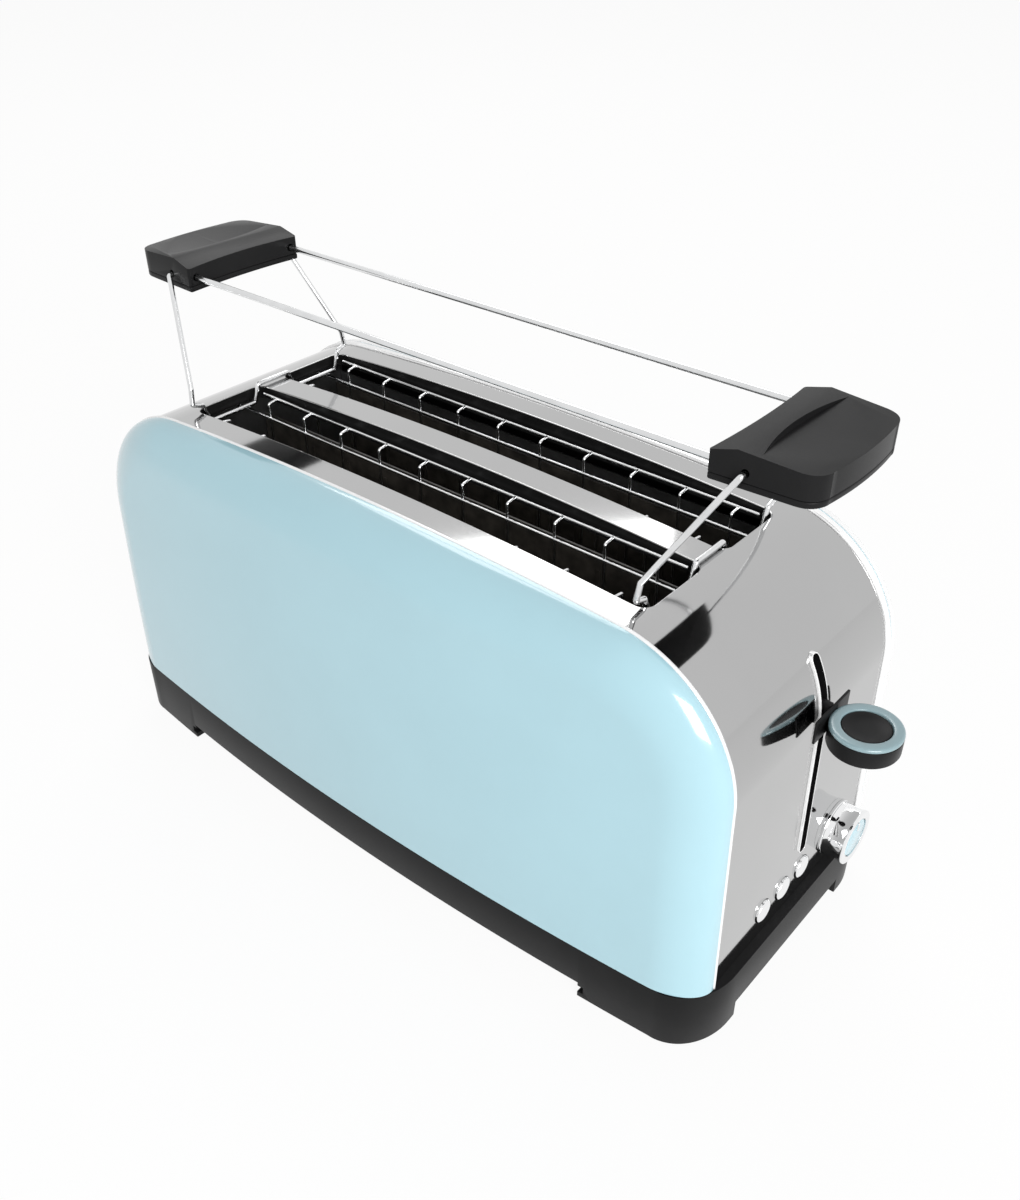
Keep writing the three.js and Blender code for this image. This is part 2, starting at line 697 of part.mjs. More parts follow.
function sidePanel(sign) {
  const outer = panelFace(sign, 0);
  const inner = panelFace(sign, PANEL_WALL);
  const columns = PANEL_COLUMNS + 1;
  const faces = [];
  const at = (i, j) => j * columns + i;
  for (let j = 0; j < PANEL_ROWS; j += 1) {
    for (let i = 0; i < PANEL_COLUMNS; i += 1) {
      const ring = [at(i, j), at(i + 1, j), at(i + 1, j + 1), at(i, j + 1)];
      faces.push([ring[0], ring[1], ring[2]], [ring[0], ring[2], ring[3]]);
      const back = ring.map((k) => k + outer.length);
      faces.push([back[0], back[2], back[1]], [back[0], back[3], back[2]]);
    }
  }
  const along = Array.from({ length: PANEL_COLUMNS }, (_, i) => i);
  const up = Array.from({ length: PANEL_ROWS }, (_, j) => j);
  const rim = [
    ...along.map((i) => at(i, 0)),
    ...up.map((j) => at(PANEL_COLUMNS, j)),
    ...along.map((i) => at(PANEL_COLUMNS - i, PANEL_ROWS)),
    ...up.map((j) => at(0, PANEL_ROWS - j)),
  ];
  rim.forEach((here, k) => {
    const next = rim[(k + 1) % rim.length];
    faces.push([here, here + outer.length, next + outer.length], [here, next + outer.length, next]);
  });
  return closedMesh([...outer, ...inner], faces);
}

// Base skirt, its rubber pads and the sheet that closes it below

function padCentres() {
  return ENDS.flatMap((end) => SIDES.map((side) => ({
    name: `${end.name}_${side.name}`,
    x: end.sign * (SKIRT_END - PAD_INSET_X),
    y: side.sign * (SKIRT_SIDE - PAD_INSET_Y),
  })));
}

function footBlocks(inner, z) {
  return ENDS.flatMap((end) => SIDES.map((side) => {
    const x = [SKIRT_END - FOOT_LENGTH + inner, SKIRT_END].map((value) => end.sign * value);
    const y = [SKIRT_SIDE - FOOT_WIDTH + inner, SKIRT_SIDE].map((value) => side.sign * value);
    return box(x.sort((a, b) => a - b), y.sort((a, b) => a - b), z);
  }));
}

function baseSkirt() {
  const deckBottom = SKIRT_TOP - SKIRT_DECK;
  const shell = solid(prism('z', skirtOutline(0), [PAD_PROUD, SKIRT_TOP]));
  const inside = solid(prism('z', skirtOutline(SKIRT_WALL), [0, deckBottom]));
  const outline = solid(prism('z', skirtOutline(SKIRT_WALL / 2), [PAD_PROUD, UNDERSIDE_HEIGHT]));
  const wells = joined(footBlocks(SKIRT_WALL, [FOOT_TOP, SKIRT_TOP])).intersect(inside);
  const feet = joined(footBlocks(0, [PAD_PROUD, UNDERSIDE_HEIGHT])).intersect(outline).subtract(wells);
  const deckX = around(0, SKIRT_END - DECK_MARGIN_X);
  const deckY = around(0, CHASSIS_SIDE + GAP);
  const windowX = [-SKIRT_END - GAP, -WRAP_END + SKIRT_LEDGE];
  const windowY = around(0, TRAY_WIDTH / 2 + 2 * GAP);
  const cuts = [
    box(around(0, SKIRT_END - FOOT_LENGTH), around(0, SKIRT_SIDE + GAP), [0, UNDERSIDE_HEIGHT]),
    box(around(0, SKIRT_END + GAP), around(0, SKIRT_SIDE - FOOT_WIDTH), [0, UNDERSIDE_HEIGHT]),
    box(deckX, deckY, [deckBottom - GAP, SKIRT_TOP + GAP]),
    box(windowX, windowY, [0, TRAY_WINDOW_TOP]),
    rod('y', [GLAND_X, GLAND_HEIGHT], GLAND_RADIUS + GAP, [WRAP_SIDE, SKIRT_SIDE + GAP]),
    ...padCentres().map(({ x, y }) => rod('z', [x, y], PAD_RADIUS + GAP, [0, PAD_TOP])),
  ];
  return geometryOf(cutBy(shell.subtract(inside).add(feet), cuts));
}

function bottomPlate() {
  return prism('z', skirtOutline(SKIRT_WALL + GAP), BOTTOM_PLATE);
}

// Lever slot surround: a raised rim on the wall with a sleeve through it
function leverSlotBezel() {
  const wide = around(CONTROL_Y, SHOULDER_RADIUS);
  const proud = archBlock(BEZEL_PROUD, wide);
  const rim = solid(leverSlot(BEZEL_RIM)).intersect(proud.subtract(archBlock(GAP, wide, 0)));
  const sleeve = solid(leverSlot(BEZEL_SLEEVE)).intersect(
    proud.subtract(archBlock(-BEZEL_SLEEVE_DEPTH, wide, 0)),
  );
  return geometryOf(cutBy(rim.add(sleeve), [leverSlot(0)]));
}

// Chassis: two upright sheets that hold the heaters, shields and guard wires

function boardPlaces() {
  return [
    { name: 'front', y: -BOARD_OFFSET, faces: [1] },
    { name: 'centre', y: 0, faces: [-1, 1] },
    { name: 'rear', y: BOARD_OFFSET, faces: [-1] },
  ];
}

function tabbedSheet(y, thickness, z) {
  const half = thickness / 2;
  const tabReach = CHASSIS_OUTER + TAB_LENGTH;
  return [
    box(around(0, CHASSIS_INNER - GAP), around(y, half), z),
    box(around(0, tabReach), around(y, half), [TAB_BOTTOM, TAB_BOTTOM + TAB_HEIGHT]),
  ];
}

function tabHoles(x) {
  const shieldY = SIDES.map(({ sign }) => ({ y: sign * (SHIELD_Y - GAP), sheet: SHIELD_SHEET }));
  const boardY = boardPlaces().map(({ y }) => ({ y, sheet: BOARD_SHEET }));
  return [...shieldY, ...boardY].map(({ y, sheet }) => (
    box(x, around(y, sheet / 2 + GAP), [TAB_BOTTOM - GAP, TAB_BOTTOM + TAB_HEIGHT + GAP])
  ));
}

function guardPlanes() {
  return SIDES.flatMap((side) => [-1, 1].map((part) => {
    const place = part * side.sign > 0 ? 'outer' : 'inner';
    return { name: `${side.name}_${place}`, y: side.sign * SLOT_Y + part * GUARD_HALF_GAP, outward: part };
  }));
}

function guardHoles(x) {
  const heights = [GUARD_RAIL_HEIGHT, GUARD_BOTTOM_HEIGHT];
  return guardPlanes().flatMap(({ y }) => heights.map((z) => (
    rod('x', [y, z], GUARD_WIRE_RADIUS + GAP, x, THIN_WIRE_SIDES)
  )));
}

function chassisPlate(sign) {
  const x = [sign * CHASSIS_INNER, sign * CHASSIS_OUTER].sort((a, b) => a - b);
  const through = [x[0] - SHELF_LENGTH, x[1] + SHELF_LENGTH];
  const blank = [box(x, around(0, CHASSIS_SIDE), [INNER_FLOOR, CHASSIS_TOP])];
  const cuts = [...tabHoles(x.map((value, i) => value + (i ? GAP : -GAP))), ...guardHoles(through)];
  if (sign < 0) {
    cuts.push(box(through, around(0, TRAY_WIDTH / 2 + GAP), [0, TRAY_WINDOW_TOP]));
    return geometryOf(cutBy(joined(blank), cuts));
  }
  const shelfX = [x[0], x[0] + SHELF_LENGTH];
  blank.push(box(shelfX, around(0, SHELF_HALF_WIDTH), [SHELF_HEIGHT, SHELF_HEIGHT + CHASSIS_SHEET]));
  const slotZ = [
    RACK_BAR_BOTTOM - TRAVEL_DOWN - BAR_CLEARANCE,
    RACK_REST_HEIGHT + TRAVEL_UP + BAR_CLEARANCE,
  ];
  SIDES.forEach((side) => {
    const y = around(side.sign * SLOT_Y, RACK_BAR_SHEET / 2 + BAR_CLEARANCE);
    cuts.push(box(x.map((value, i) => value + (i ? GAP : -GAP)), y, slotZ));
  });
  return geometryOf(cutBy(joined(blank), cuts));
}

function heatShield(sign) {
  const z = [INNER_FLOOR + SHIELD_RISE, CROWN_HEIGHT - SHIELD_DROP];
  return geometryOf(joined(tabbedSheet(sign * (SHIELD_Y - GAP), SHIELD_SHEET, z)));
}

function heaterBoard({ y, faces }) {
  const z = [INNER_FLOOR + BOARD_RISE, CROWN_HEIGHT - BOARD_DROP];
  const ribbonZ = [z[0] + RIBBON_MARGIN, z[1] - RIBBON_MARGIN];
  const half = BOARD_SHEET / 2;
  const ribbons = faces.flatMap((face) => spaced(UPRIGHT_COUNT - 1, UPRIGHT_SPACING).map((x) => {
    const ribbonY = face < 0 ? [y - half - RIBBON_RELIEF, y] : [y, y + half + RIBBON_RELIEF];
    return box(around(x, RIBBON_WIDTH / 2), ribbonY, ribbonZ);
  }));
  return geometryOf(joined([...tabbedSheet(y, BOARD_SHEET, z), ...ribbons]));
}

// Wire grid beside each slot: uprights flare out to a top wire under the slot lip

function breadGuard({ y, outward }) {
  const topY = y + outward * GUARD_FLARE;
  const topZ = CROWN_HEIGHT - GUARD_TOP_DROP;
  const bendZ = CROWN_HEIGHT - GUARD_BEND_DROP;
  const reach = CHASSIS_OUTER + TAB_LENGTH;
  const topEnd = SLOT_END - GUARD_TOP_END_MARGIN;
  const across = (height, at, end) => (
    wire([[-end, at, height], [end, at, height]], GUARD_WIRE_RADIUS, THIN_WIRE_SIDES)
  );
  const uprights = spaced(UPRIGHT_COUNT, UPRIGHT_SPACING).map((x) => (
    wire([[x, y, GUARD_BOTTOM_HEIGHT], [x, y, bendZ], [x, topY, topZ]], GUARD_WIRE_RADIUS, THIN_WIRE_SIDES)
  ));
  return geometryOf(joined([
    ...uprights,
    across(topZ, topY, topEnd),
    across(GUARD_RAIL_HEIGHT, y, reach),
    across(GUARD_BOTTOM_HEIGHT, y, reach),
  ]));
}

// Carriage: everything that rides up and down with the lever

function breadRack(sign) {
  const y = sign * SLOT_Y;
  const bar = box(
    [-SLOT_END, BRACKET_X - GAP],
    around(y, RACK_BAR_SHEET / 2),
    [RACK_BAR_BOTTOM, RACK_REST_HEIGHT],
  );
  const prongs = spaced(UPRIGHT_COUNT - 1, UPRIGHT_SPACING).map((x) => box(
    around(x, RACK_BAR_SHEET / 2),
    around(y, PRONG_REACH),
    [RACK_REST_HEIGHT - PRONG_HEIGHT, RACK_REST_HEIGHT],
  ));
  return geometryOf(joined([bar, ...prongs]));
}

function sleeveHoles(z) {
  return SIDES.map(({ sign }) => rod('z', [ROD_X, sign * ROD_OFFSET_Y], ROD_RADIUS + GAP, z));
}

function carriageBracket() {
  const z = [RACK_BAR_BOTTOM, RACK_BAR_BOTTOM + BRACKET_HEIGHT];
  const sleeveZ = [FLANGE_BOTTOM, FLANGE_BOTTOM + SLEEVE_HEIGHT];
  const flangeX = [BRACKET_X, BRACKET_FACE + BRACKET_FLANGE_LENGTH];
  const flangeY = around(0, BRACKET_FLANGE_HALF_WIDTH);
  const sleeves = SIDES.map(({ sign }) => (
    rod('z', [ROD_X, sign * ROD_OFFSET_Y], ROD_RADIUS + GAP + SLEEVE_WALL, sleeveZ)
  ));
  const body = joined([
    box([BRACKET_X, BRACKET_FACE], around(0, BRACKET_HALF_WIDTH), z),
    box(flangeX, flangeY, [FLANGE_BOTTOM, FLANGE_BOTTOM + BRACKET_SHEET]),
    ...sleeves,
  ]);
  return geometryOf(cutBy(body, sleeveHoles([0, CROWN_HEIGHT])));
}

function armature() {
  const x = [BRACKET_FACE + GAP, BRACKET_FACE + GAP + ARMATURE_LENGTH];
  return box(x, around(0, ARMATURE_WIDTH / 2), [ARMATURE_BOTTOM, ARMATURE_BOTTOM + ARMATURE_SHEET]);
}

function guideRod(sign) {
  return rod('z', [ROD_X, sign * ROD_OFFSET_Y], ROD_RADIUS, [INNER_FLOOR, SHELF_HEIGHT - GAP]);
}

// One unbroken coil; the ends turn no further, so it stretches along Z
function liftSpring() {
  const bottom = FLANGE_BOTTOM + BRACKET_SHEET + GAP + SPRING_WIRE_RADIUS;
  const top = SHELF_HEIGHT - GAP - SPRING_WIRE_RADIUS;
  const steps = SPRING_TURNS * COIL_STEPS;
  const points = Array.from({ length: steps + 1 }, (_, i) => {
    const angle = (i / COIL_STEPS) * 2 * Math.PI;
    return [
      ROD_X + SPRING_RADIUS * Math.cos(angle),
      SPRING_OFFSET_Y + SPRING_RADIUS * Math.sin(angle),
      between(bottom, top, i / steps),
    ];
  });
  const leastGap = (top - bottom) / SPRING_TURNS - 2 * SPRING_WIRE_RADIUS;
  console.log('lift spring, least gap between turns', leastGap.toFixed(2));
  return wire(points, SPRING_WIRE_RADIUS, COIL_SIDES);
}

function electromagnet() {
  const x = [CHASSIS_OUTER + TAB_LENGTH + GAP, CHASSIS_OUTER + TAB_LENGTH + GAP + MAGNET_LENGTH];
  const poleTop = ARMATURE_BOTTOM - TRAVEL_DOWN - MAGNET_AIR_GAP;
  const baseTop = INNER_FLOOR + MAGNET_BASE;
  const coilTop = poleTop - MAGNET_BASE;
  const poles = [-1, 1].flatMap((side) => {
    const y = side * (MAGNET_WIDTH / 4);
    return [
      rod('z', [middle(x), y], MAGNET_COIL_RADIUS, [INNER_FLOOR, coilTop], SMALL_SIDES),
      box(around(middle(x), MAGNET_POLE / 2), around(y, MAGNET_POLE / 2), [INNER_FLOOR, poleTop]),
    ];
  });
  return geometryOf(joined([box(x, around(0, MAGNET_WIDTH / 2), [INNER_FLOOR, baseTop]), ...poles]));
}

// Lever: arm through the wall, crossbar outside it, round knob with a painted ring

function tongue(margin) {
  const start = margin > 0 ? CROSSBAR_FACE : CROSSBAR_X;
  const z = around(KNOB_BOTTOM + KNOB_THICKNESS / 2, TONGUE_THICKNESS / 2 + margin);
  const x = [start, CROSSBAR_FACE + TONGUE_LENGTH + margin];
  return box(x, around(CONTROL_Y, TONGUE_WIDTH / 2 + margin), z);
}

function leverArm() {
  const armX = [BRACKET_FACE + GAP, CROSSBAR_FACE];
  const arm = box(armX, around(CONTROL_Y, ARM_THICKNESS / 2), [ARM_BOTTOM, ARM_TOP]);
  const z = around(middle([ARM_BOTTOM, ARM_TOP]) - GAP, CROSSBAR_HEIGHT / 2);
  const crossbar = box([CROSSBAR_X, CROSSBAR_FACE], around(CONTROL_Y, CROSSBAR_WIDTH / 2), z);
  return geometryOf(joined([arm, crossbar, tongue(0)]));
}

function knobDisc(radius, z) {
  return solid(rod('z', [KNOB_X, CONTROL_Y], radius, z, ROUND_SIDES));
}

function leverKnob() {
  const seat = KNOB_BOTTOM + KNOB_THICKNESS - RING_THICKNESS - GAP;
  const hub = knobDisc(KNOB_HUB_RADIUS, [KNOB_BOTTOM, KNOB_BOTTOM + KNOB_THICKNESS - GAP]);
  const body = knobDisc(KNOB_RADIUS, [KNOB_BOTTOM, seat]).add(hub);
  const back = box(
    [WRAP_END, CROSSBAR_FACE + GAP],
    around(CONTROL_Y, CROSSBAR_WIDTH),
    [KNOB_BOTTOM - GAP, KNOB_BOTTOM + KNOB_THICKNESS + GAP],
  );
  return geometryOf(cutBy(body, [back, tongue(GAP)]));
}

function leverRing() {
  const top = KNOB_BOTTOM + KNOB_THICKNESS;
  const bottom = top - RING_THICKNESS;
  const inner = KNOB_HUB_RADIUS + GAP;
  const section = [
    [inner, bottom], [KNOB_RADIUS, bottom], [KNOB_RADIUS, top - RING_ROUND],
    [KNOB_RADIUS - RING_ROUND, top], [inner, top], [inner, bottom],
  ];
  const ring = new THREE.LatheGeometry(section.map(([r, z]) => new THREE.Vector2(r, z)), ROUND_SIDES);
  ring.rotateX(Math.PI / 2).translate(KNOB_X, CONTROL_Y, 0);
  const back = box([WRAP_END, CROSSBAR_FACE + GAP], around(CONTROL_Y, CROSSBAR_WIDTH), [0, CROWN_HEIGHT]);
  return geometryOf(cutBy(solid(ring), [back]));
}

// Browning dial

function dialKnob() {
  const back = WRAP_END + GAP;
  const front = WRAP_END + DIAL_LENGTH;
  const collar = back + DIAL_COLLAR;
  const centre = [DIAL_Y, DIAL_HEIGHT];
  const profile = [
    [back, 0], [back, DIAL_RADIUS], [collar, DIAL_RADIUS],
    [collar, DIAL_RADIUS - DIAL_GROOVE], [collar + DIAL_GROOVE, DIAL_RADIUS - DIAL_GROOVE],
    [between(collar, front, 1 / 2), DIAL_WAIST_RADIUS], [front - DIAL_LIP, DIAL_RADIUS - DIAL_GROOVE],
    [front - DIAL_LIP / 2, DIAL_RADIUS], [front, DIAL_RADIUS - DIAL_GROOVE], [front, 0],
  ];
  const cuts = [
    rod('x', centre, DIAL_FACE_RADIUS + GAP, [front - DIAL_FACE_DEPTH, front + GAP], ROUND_SIDES),
    rod('x', centre, SHAFT_RADIUS + GAP, [back - GAP, front - DIAL_FACE_DEPTH - DIAL_LIP]),
  ];
  return geometryOf(cutBy(solid(turned(profile, DIAL_Y, DIAL_HEIGHT)), cuts));
}

function dialInset() {
  const front = WRAP_END + DIAL_LENGTH;
  const x = [front - DIAL_FACE_DEPTH + GAP, front - POINTER_HEIGHT];
  return rod('x', [DIAL_Y, DIAL_HEIGHT], DIAL_FACE_RADIUS, x, ROUND_SIDES);
}

function dialPointer() {
  const front = WRAP_END + DIAL_LENGTH;
  const x = [front - POINTER_HEIGHT + GAP, front + POINTER_HEIGHT];
  const z = [DIAL_HEIGHT + DIAL_FACE_RADIUS / 2, DIAL_HEIGHT + DIAL_FACE_RADIUS];
  return box(x, around(DIAL_Y, POINTER_WIDTH / 2), z);
}

function dialShaft() {
  const front = WRAP_END + DIAL_LENGTH - DIAL_FACE_DEPTH - DIAL_LIP - GAP;
  return rod('x', [DIAL_Y, DIAL_HEIGHT], SHAFT_RADIUS, [CIRCUIT_X + CIRCUIT_SHEET + 2 * GAP, front]);
}

function dialPotentiometer() {
  const x = [CIRCUIT_X + CIRCUIT_SHEET + GAP, WALL_X - GAP];
  const body = box(x, around(DIAL_Y, POT_SIZE / 2), around(DIAL_HEIGHT, POT_SIZE / 2));
  const bore = rod('x', [DIAL_Y, DIAL_HEIGHT], SHAFT_RADIUS + GAP, [x[0] - GAP, WALL_X]);
  return geometryOf(cutBy(solid(body), [bore]));
}

// Push buttons, held behind the wall by a flange, and the switches behind them

function pushButton(y) {
  const front = WRAP_END + BUTTON_PROUD;
  const flange = [BUTTON_BACK, WALL_X - GAP];
  const stem = SWITCH_FACE - GAP;
  const profile = [
    [stem, 0], [stem, BUTTON_STEM_RADIUS], [flange[0], BUTTON_STEM_RADIUS],
    [flange[0], BUTTON_RADIUS + BUTTON_FLANGE], [flange[1], BUTTON_RADIUS + BUTTON_FLANGE],
    [flange[1], BUTTON_RADIUS], [front - BUTTON_ROUND, BUTTON_RADIUS],
    [front, BUTTON_RADIUS - BUTTON_ROUND], [front, 0],
  ];
  return turned(profile, y, BUTTON_HEIGHT, SMALL_SIDES);
}

function controlBoard() {
  const x = [CIRCUIT_X, CIRCUIT_X + CIRCUIT_SHEET];
  const rows = buttonRows();
  const y = [rows[0] - CIRCUIT_MARGIN, DIAL_Y + CIRCUIT_MARGIN];
  const switches = rows.map((row) => box(
    [x[0], SWITCH_FACE],
    around(row, SWITCH_SIZE / 2),
    around(BUTTON_HEIGHT, SWITCH_SIZE / 2),
  ));
  const plungers = rows.map((row) => rod(
    'x',
    [row, BUTTON_HEIGHT],
    BUTTON_STEM_RADIUS + GAP,
    [SWITCH_FACE - BUTTON_TRAVEL - 2 * GAP, SWITCH_FACE + GAP],
  ));
  const board = box(x, y, [SKIRT_TOP + GAP, SKIRT_TOP + GAP + CIRCUIT_HEIGHT]);
  return geometryOf(cutBy(joined([board, ...switches]), plungers));
}

// Crumb tray, drawn out at the far end from the controls

function crumbTray() {
  const back = -SKIRT_END + GRIP_THICKNESS + GAP;
  const x = [back, back + TRAY_LENGTH];
  const y = around(0, TRAY_WIDTH / 2);
  const outer = box(x, y, [TRAY_FLOOR, TRAY_FLOOR + TRAY_DEPTH]);
  const hollow = box(
    [x[0] + TRAY_SHEET, x[1] - TRAY_SHEET],
    [y[0] + TRAY_SHEET, y[1] - TRAY_SHEET],
    [TRAY_FLOOR + TRAY_SHEET, TRAY_FLOOR + TRAY_DEPTH + GAP],
  );
  return geometryOf(cutBy(solid(outer), [hollow]));
}

function trayGrip() {
  const x = [-SKIRT_END, -SKIRT_END + GRIP_THICKNESS];
  const z = [INNER_FLOOR, TRAY_WINDOW_TOP - GAP];
  const body = solid(box(x, around(0, TRAY_WIDTH / 2 + GAP), z));
  const pull = box(
    [x[0] - GAP, x[0] + GRIP_RECESS],
    around(0, TRAY_WIDTH / 4),
    [z[0] - GAP, middle(z)],
  );
  return geometryOf(cutBy(body, [pull]));
}

// Cord inlet in the rear of the skirt; the cord itself is not part of the object
function cordGland() {
  const wall = bowedSide(Math.abs(GLAND_X) - GLAND_FLANGE_RADIUS);
  const flange = [wall + GAP, wall + GAP + GLAND_FLANGE];
  const body = joined([
    rod('y', [GLAND_X, GLAND_HEIGHT], GLAND_RADIUS, [flange[1] - GLAND_LENGTH, flange[1]]),
    rod('y', [GLAND_X, GLAND_HEIGHT], GLAND_FLANGE_RADIUS, flange),
  ]);
  const bore = rod('y', [GLAND_X, GLAND_HEIGHT], GLAND_BORE_RADIUS, [0, flange[1] + GAP]);
  return geometryOf(cutBy(body, [bore]));
}

// Bun rack: two rails between two handles, on legs of bent wire that fold in under the rails

function rackX(sign, reach) {
  return RACK_SHIFT + sign * reach;
}

function rackSpan(sign, from, to) {
  return [rackX(sign, from), rackX(sign, to)].sort((a, b) => a - b);
}

function rackRail(sign) {
  const reach = HANDLE_INNER + RAIL_SEAT - GAP;
  return rod('x', [sign * RAIL_Y, RAIL_HEIGHT], RAIL_RADIUS, rackSpan(1, -reach, reach), WIRE_SIDES);
}

function handleOutline(sign) {
  const half = HANDLE_WIDTH / 2;
  const far = half - HANDLE_TAPER;
  const rows = [];
  for (let i = 0; i <= SIDE_STEPS; i += 1) {
    const share = (2 * i) / SIDE_STEPS - 1;
    rows.push([HANDLE_INNER + HANDLE_INNER_SAG * (1 - share ** 2), half * share, 0]);
  }
  for (let i = SIDE_STEPS; i >= 0; i -= 1) {
    const share = (2 * i) / SIDE_STEPS - 1;
    const corner = i === 0 || i === SIDE_STEPS ? HANDLE_CORNER : 0;
    rows.push([HANDLE_INNER + HANDLE_LENGTH - HANDLE_OUTER_SAG * share ** 2, far * share, corner]);
  }
  const outline = roundCorners(rows.map(([x, y]) => [x, y]), rows.map(([, , corner]) => corner), true);
  return outline.map(([x, y]) => [rackX(sign, x), y]);
}

function handleProfile(sign) {
  const end = HANDLE_INNER + HANDLE_LENGTH + GAP;
  return [
    [HANDLE_INNER - GAP, BODY_BOTTOM],
    [end, BODY_BOTTOM],
    [end, HANDLE_CREST_HEIGHT - HANDLE_FALL],
    [HANDLE_INNER + HANDLE_CREST, HANDLE_CREST_HEIGHT],
    [HANDLE_INNER - GAP, HANDLE_EDGE_HEIGHT],
  ].map(([x, z]) => [rackX(sign, x), z]);
}

// Thumb scoop: a curved step down, from which a broad round floor rises outwards to the top again
function thumbScoop(sign) {
  const radius = (SCOOP_HALF_CHORD ** 2 + SCOOP_DEPTH ** 2) / (2 * SCOOP_DEPTH);
  const stepRadius = (SCOOP_HALF_CHORD ** 2 + SCOOP_SAG ** 2) / (2 * SCOOP_SAG);
  const start = HANDLE_INNER + SCOOP_START;
  const length = HANDLE_LENGTH - SCOOP_START;
  const trough = new THREE.CylinderGeometry(radius, radius, 4 * length, SCOOP_SIDES);
  trough.rotateZ(Math.PI / 2).translate(0, 0, radius);
  trough.rotateY(-sign * Math.atan2(SCOOP_DEPTH, SCOOP_RUN));
  trough.translate(rackX(sign, start), 0, HANDLE_CREST_HEIGHT - HANDLE_FALL / 2 - SCOOP_DEPTH);
  const step = rod(
    'z',
    [rackX(sign, start + stepRadius), 0],
    stepRadius,
    [BODY_BOTTOM, HANDLE_CREST_HEIGHT + SCOOP_DEPTH],
    SCOOP_SIDES,
  );
  return solid(trough).intersect(solid(step));
}

function rackHandle(sign) {
  const wide = around(0, HANDLE_WIDTH);
  const block = solid(prism('z', handleOutline(sign), [BODY_BOTTOM, HANDLE_CREST_HEIGHT + GAP]));
  const body = block.intersect(solid(prism('y', handleProfile(sign), wide))).subtract(thumbScoop(sign));
  const cavity = box(
    rackSpan(sign, HANDLE_INNER + CAVITY_START, HANDLE_INNER + HANDLE_LENGTH - CAVITY_END_WALL),
    around(0, CAVITY_HALF_WIDTH),
    [BODY_BOTTOM - GAP, BODY_BOTTOM + CAVITY_HEIGHT],
  );
  const rails = SIDES.map((side) => rod(
    'x',
    [side.sign * RAIL_Y, RAIL_HEIGHT],
    RAIL_RADIUS + GAP,
    rackSpan(sign, HANDLE_INNER - GAP, HANDLE_INNER + RAIL_SEAT),
    WIRE_SIDES,
  ));
  const pivotX = rackX(sign, PIVOT_REACH);
  const pivots = SIDES.map((side) => {
    const y = [side.sign * (HANDLE_WIDTH / 2 - LEG_SEAT), side.sign * (HANDLE_WIDTH / 2 + GAP)];
    return rod('y', [pivotX, RAIL_HEIGHT], LEG_RADIUS + GAP, y.sort((a, b) => a - b), WIRE_SIDES);
  });
  return geometryOf(cutBy(body, [cavity, ...rails, ...pivots]));
}

function handleCover(sign) {
  const z = [HANDLE_BOTTOM, HANDLE_BOTTOM + COVER_THICKNESS];
  const plate = prism('z', handleOutline(sign), z);
  const postX = rackX(sign, HANDLE_INNER + CAVITY_START + 2 * COVER_POST_RADIUS);
  const posts = SIDES.map((side) => rod(
    'z',
    [postX, side.sign * (COVER_POST_SPACING / 2)],
    COVER_POST_RADIUS,
    [HANDLE_BOTTOM, BODY_BOTTOM + CAVITY_HEIGHT - GAP],
  ));
  return geometryOf(joined([plate, ...posts]));
}

// One leg is one bent wire: from a pivot in the handle down to a toe on the wrap beside the slot,
// through the slot, over the web between the slots, and back the same way
function rackLeg(sign) {
  const x = sign * LEG_REACH;
  const rest = archHeight(LEG_REACH) + LEG_RADIUS + GAP;
  const low = archHeight(LEG_REACH) - LEG_DROP + LEG_RADIUS;
  const pivot = rackX(sign, PIVOT_REACH);
  const half = HANDLE_WIDTH / 2;
  const bends = [
    [pivot, half - LEG_SEAT + GAP, RAIL_HEIGHT, 0],
    [pivot, half + LEG_OUT, RAIL_HEIGHT, LEG_BEND],
    [x, LEG_KNEE_Y, rest + LEG_KNEE_RISE, LEG_BEND],
    [x, LEG_TOE_Y, rest, LEG_BEND],
    [x, LEG_HEEL_Y, rest, LEG_BEND],
    [x, LEG_DROP_Y, low, LEG_BEND],
    [x, LEG_BUMP_FOOT_Y, low, LEG_BEND],
    [x, LEG_BUMP_Y, rest, LEG_BEND],
  ];
  const other = bends.map(([a, b, c, bend]) => [a, -b, c, bend]).reverse();
  const all = [...bends, ...other];
  const path = roundCorners(all.map(([a, b, c]) => [a, b, c]), all.map(([, , , bend]) => bend), false);
  return wire(path, LEG_RADIUS, WIRE_SIDES);
}

// The object, piece by piece

addPart('body_wrap', bodyWrap(), 'stainless');
addPart('base_skirt', baseSkirt(), 'blackPlastic');
addPart('bottom_plate', bottomPlate(), 'plainSteel');
addPart('lever_slot_bezel', leverSlotBezel(), 'chrome');
SIDES.forEach(({ name, sign }) => {
  addPart(`edge_trim_${name}`, edgeTrim(sign), 'chrome');
  addPart(`side_panel_${name}`, sidePanel(sign), 'bluePaint');
  addPart(`heat_shield_${name}`, heatShield(sign), 'plainSteel');
  addPart(`bread_rack_${name}`, breadRack(sign), 'plainSteel');
  addPart(`guide_rod_${name}`, guideRod(sign), 'plainSteel');
  addPart(`rack_rail_${name}`, rackRail(sign), 'chrome');
});
padCentres().forEach(({ name, x, y }) => {
  addPart(`foot_pad_${name}`, rod('z', [x, y], PAD_RADIUS, [0, PAD_TOP - GAP], SMALL_SIDES), 'rubber');
});
ENDS.forEach(({ name, sign }) => {
  addPart(`chassis_plate_${name}`, chassisPlate(sign), 'plainSteel');
  addPart(`rack_handle_${name}`, rackHandle(sign), 'handlePlastic');
  addPart(`handle_cover_${name}`, handleCover(sign), 'handlePlastic');
  addPart(`rack_leg_${name}`, rackLeg(sign), 'chrome');
});
boardPlaces().forEach((place) => addPart(`heater_board_${place.name}`, heaterBoard(place), 'mica'));
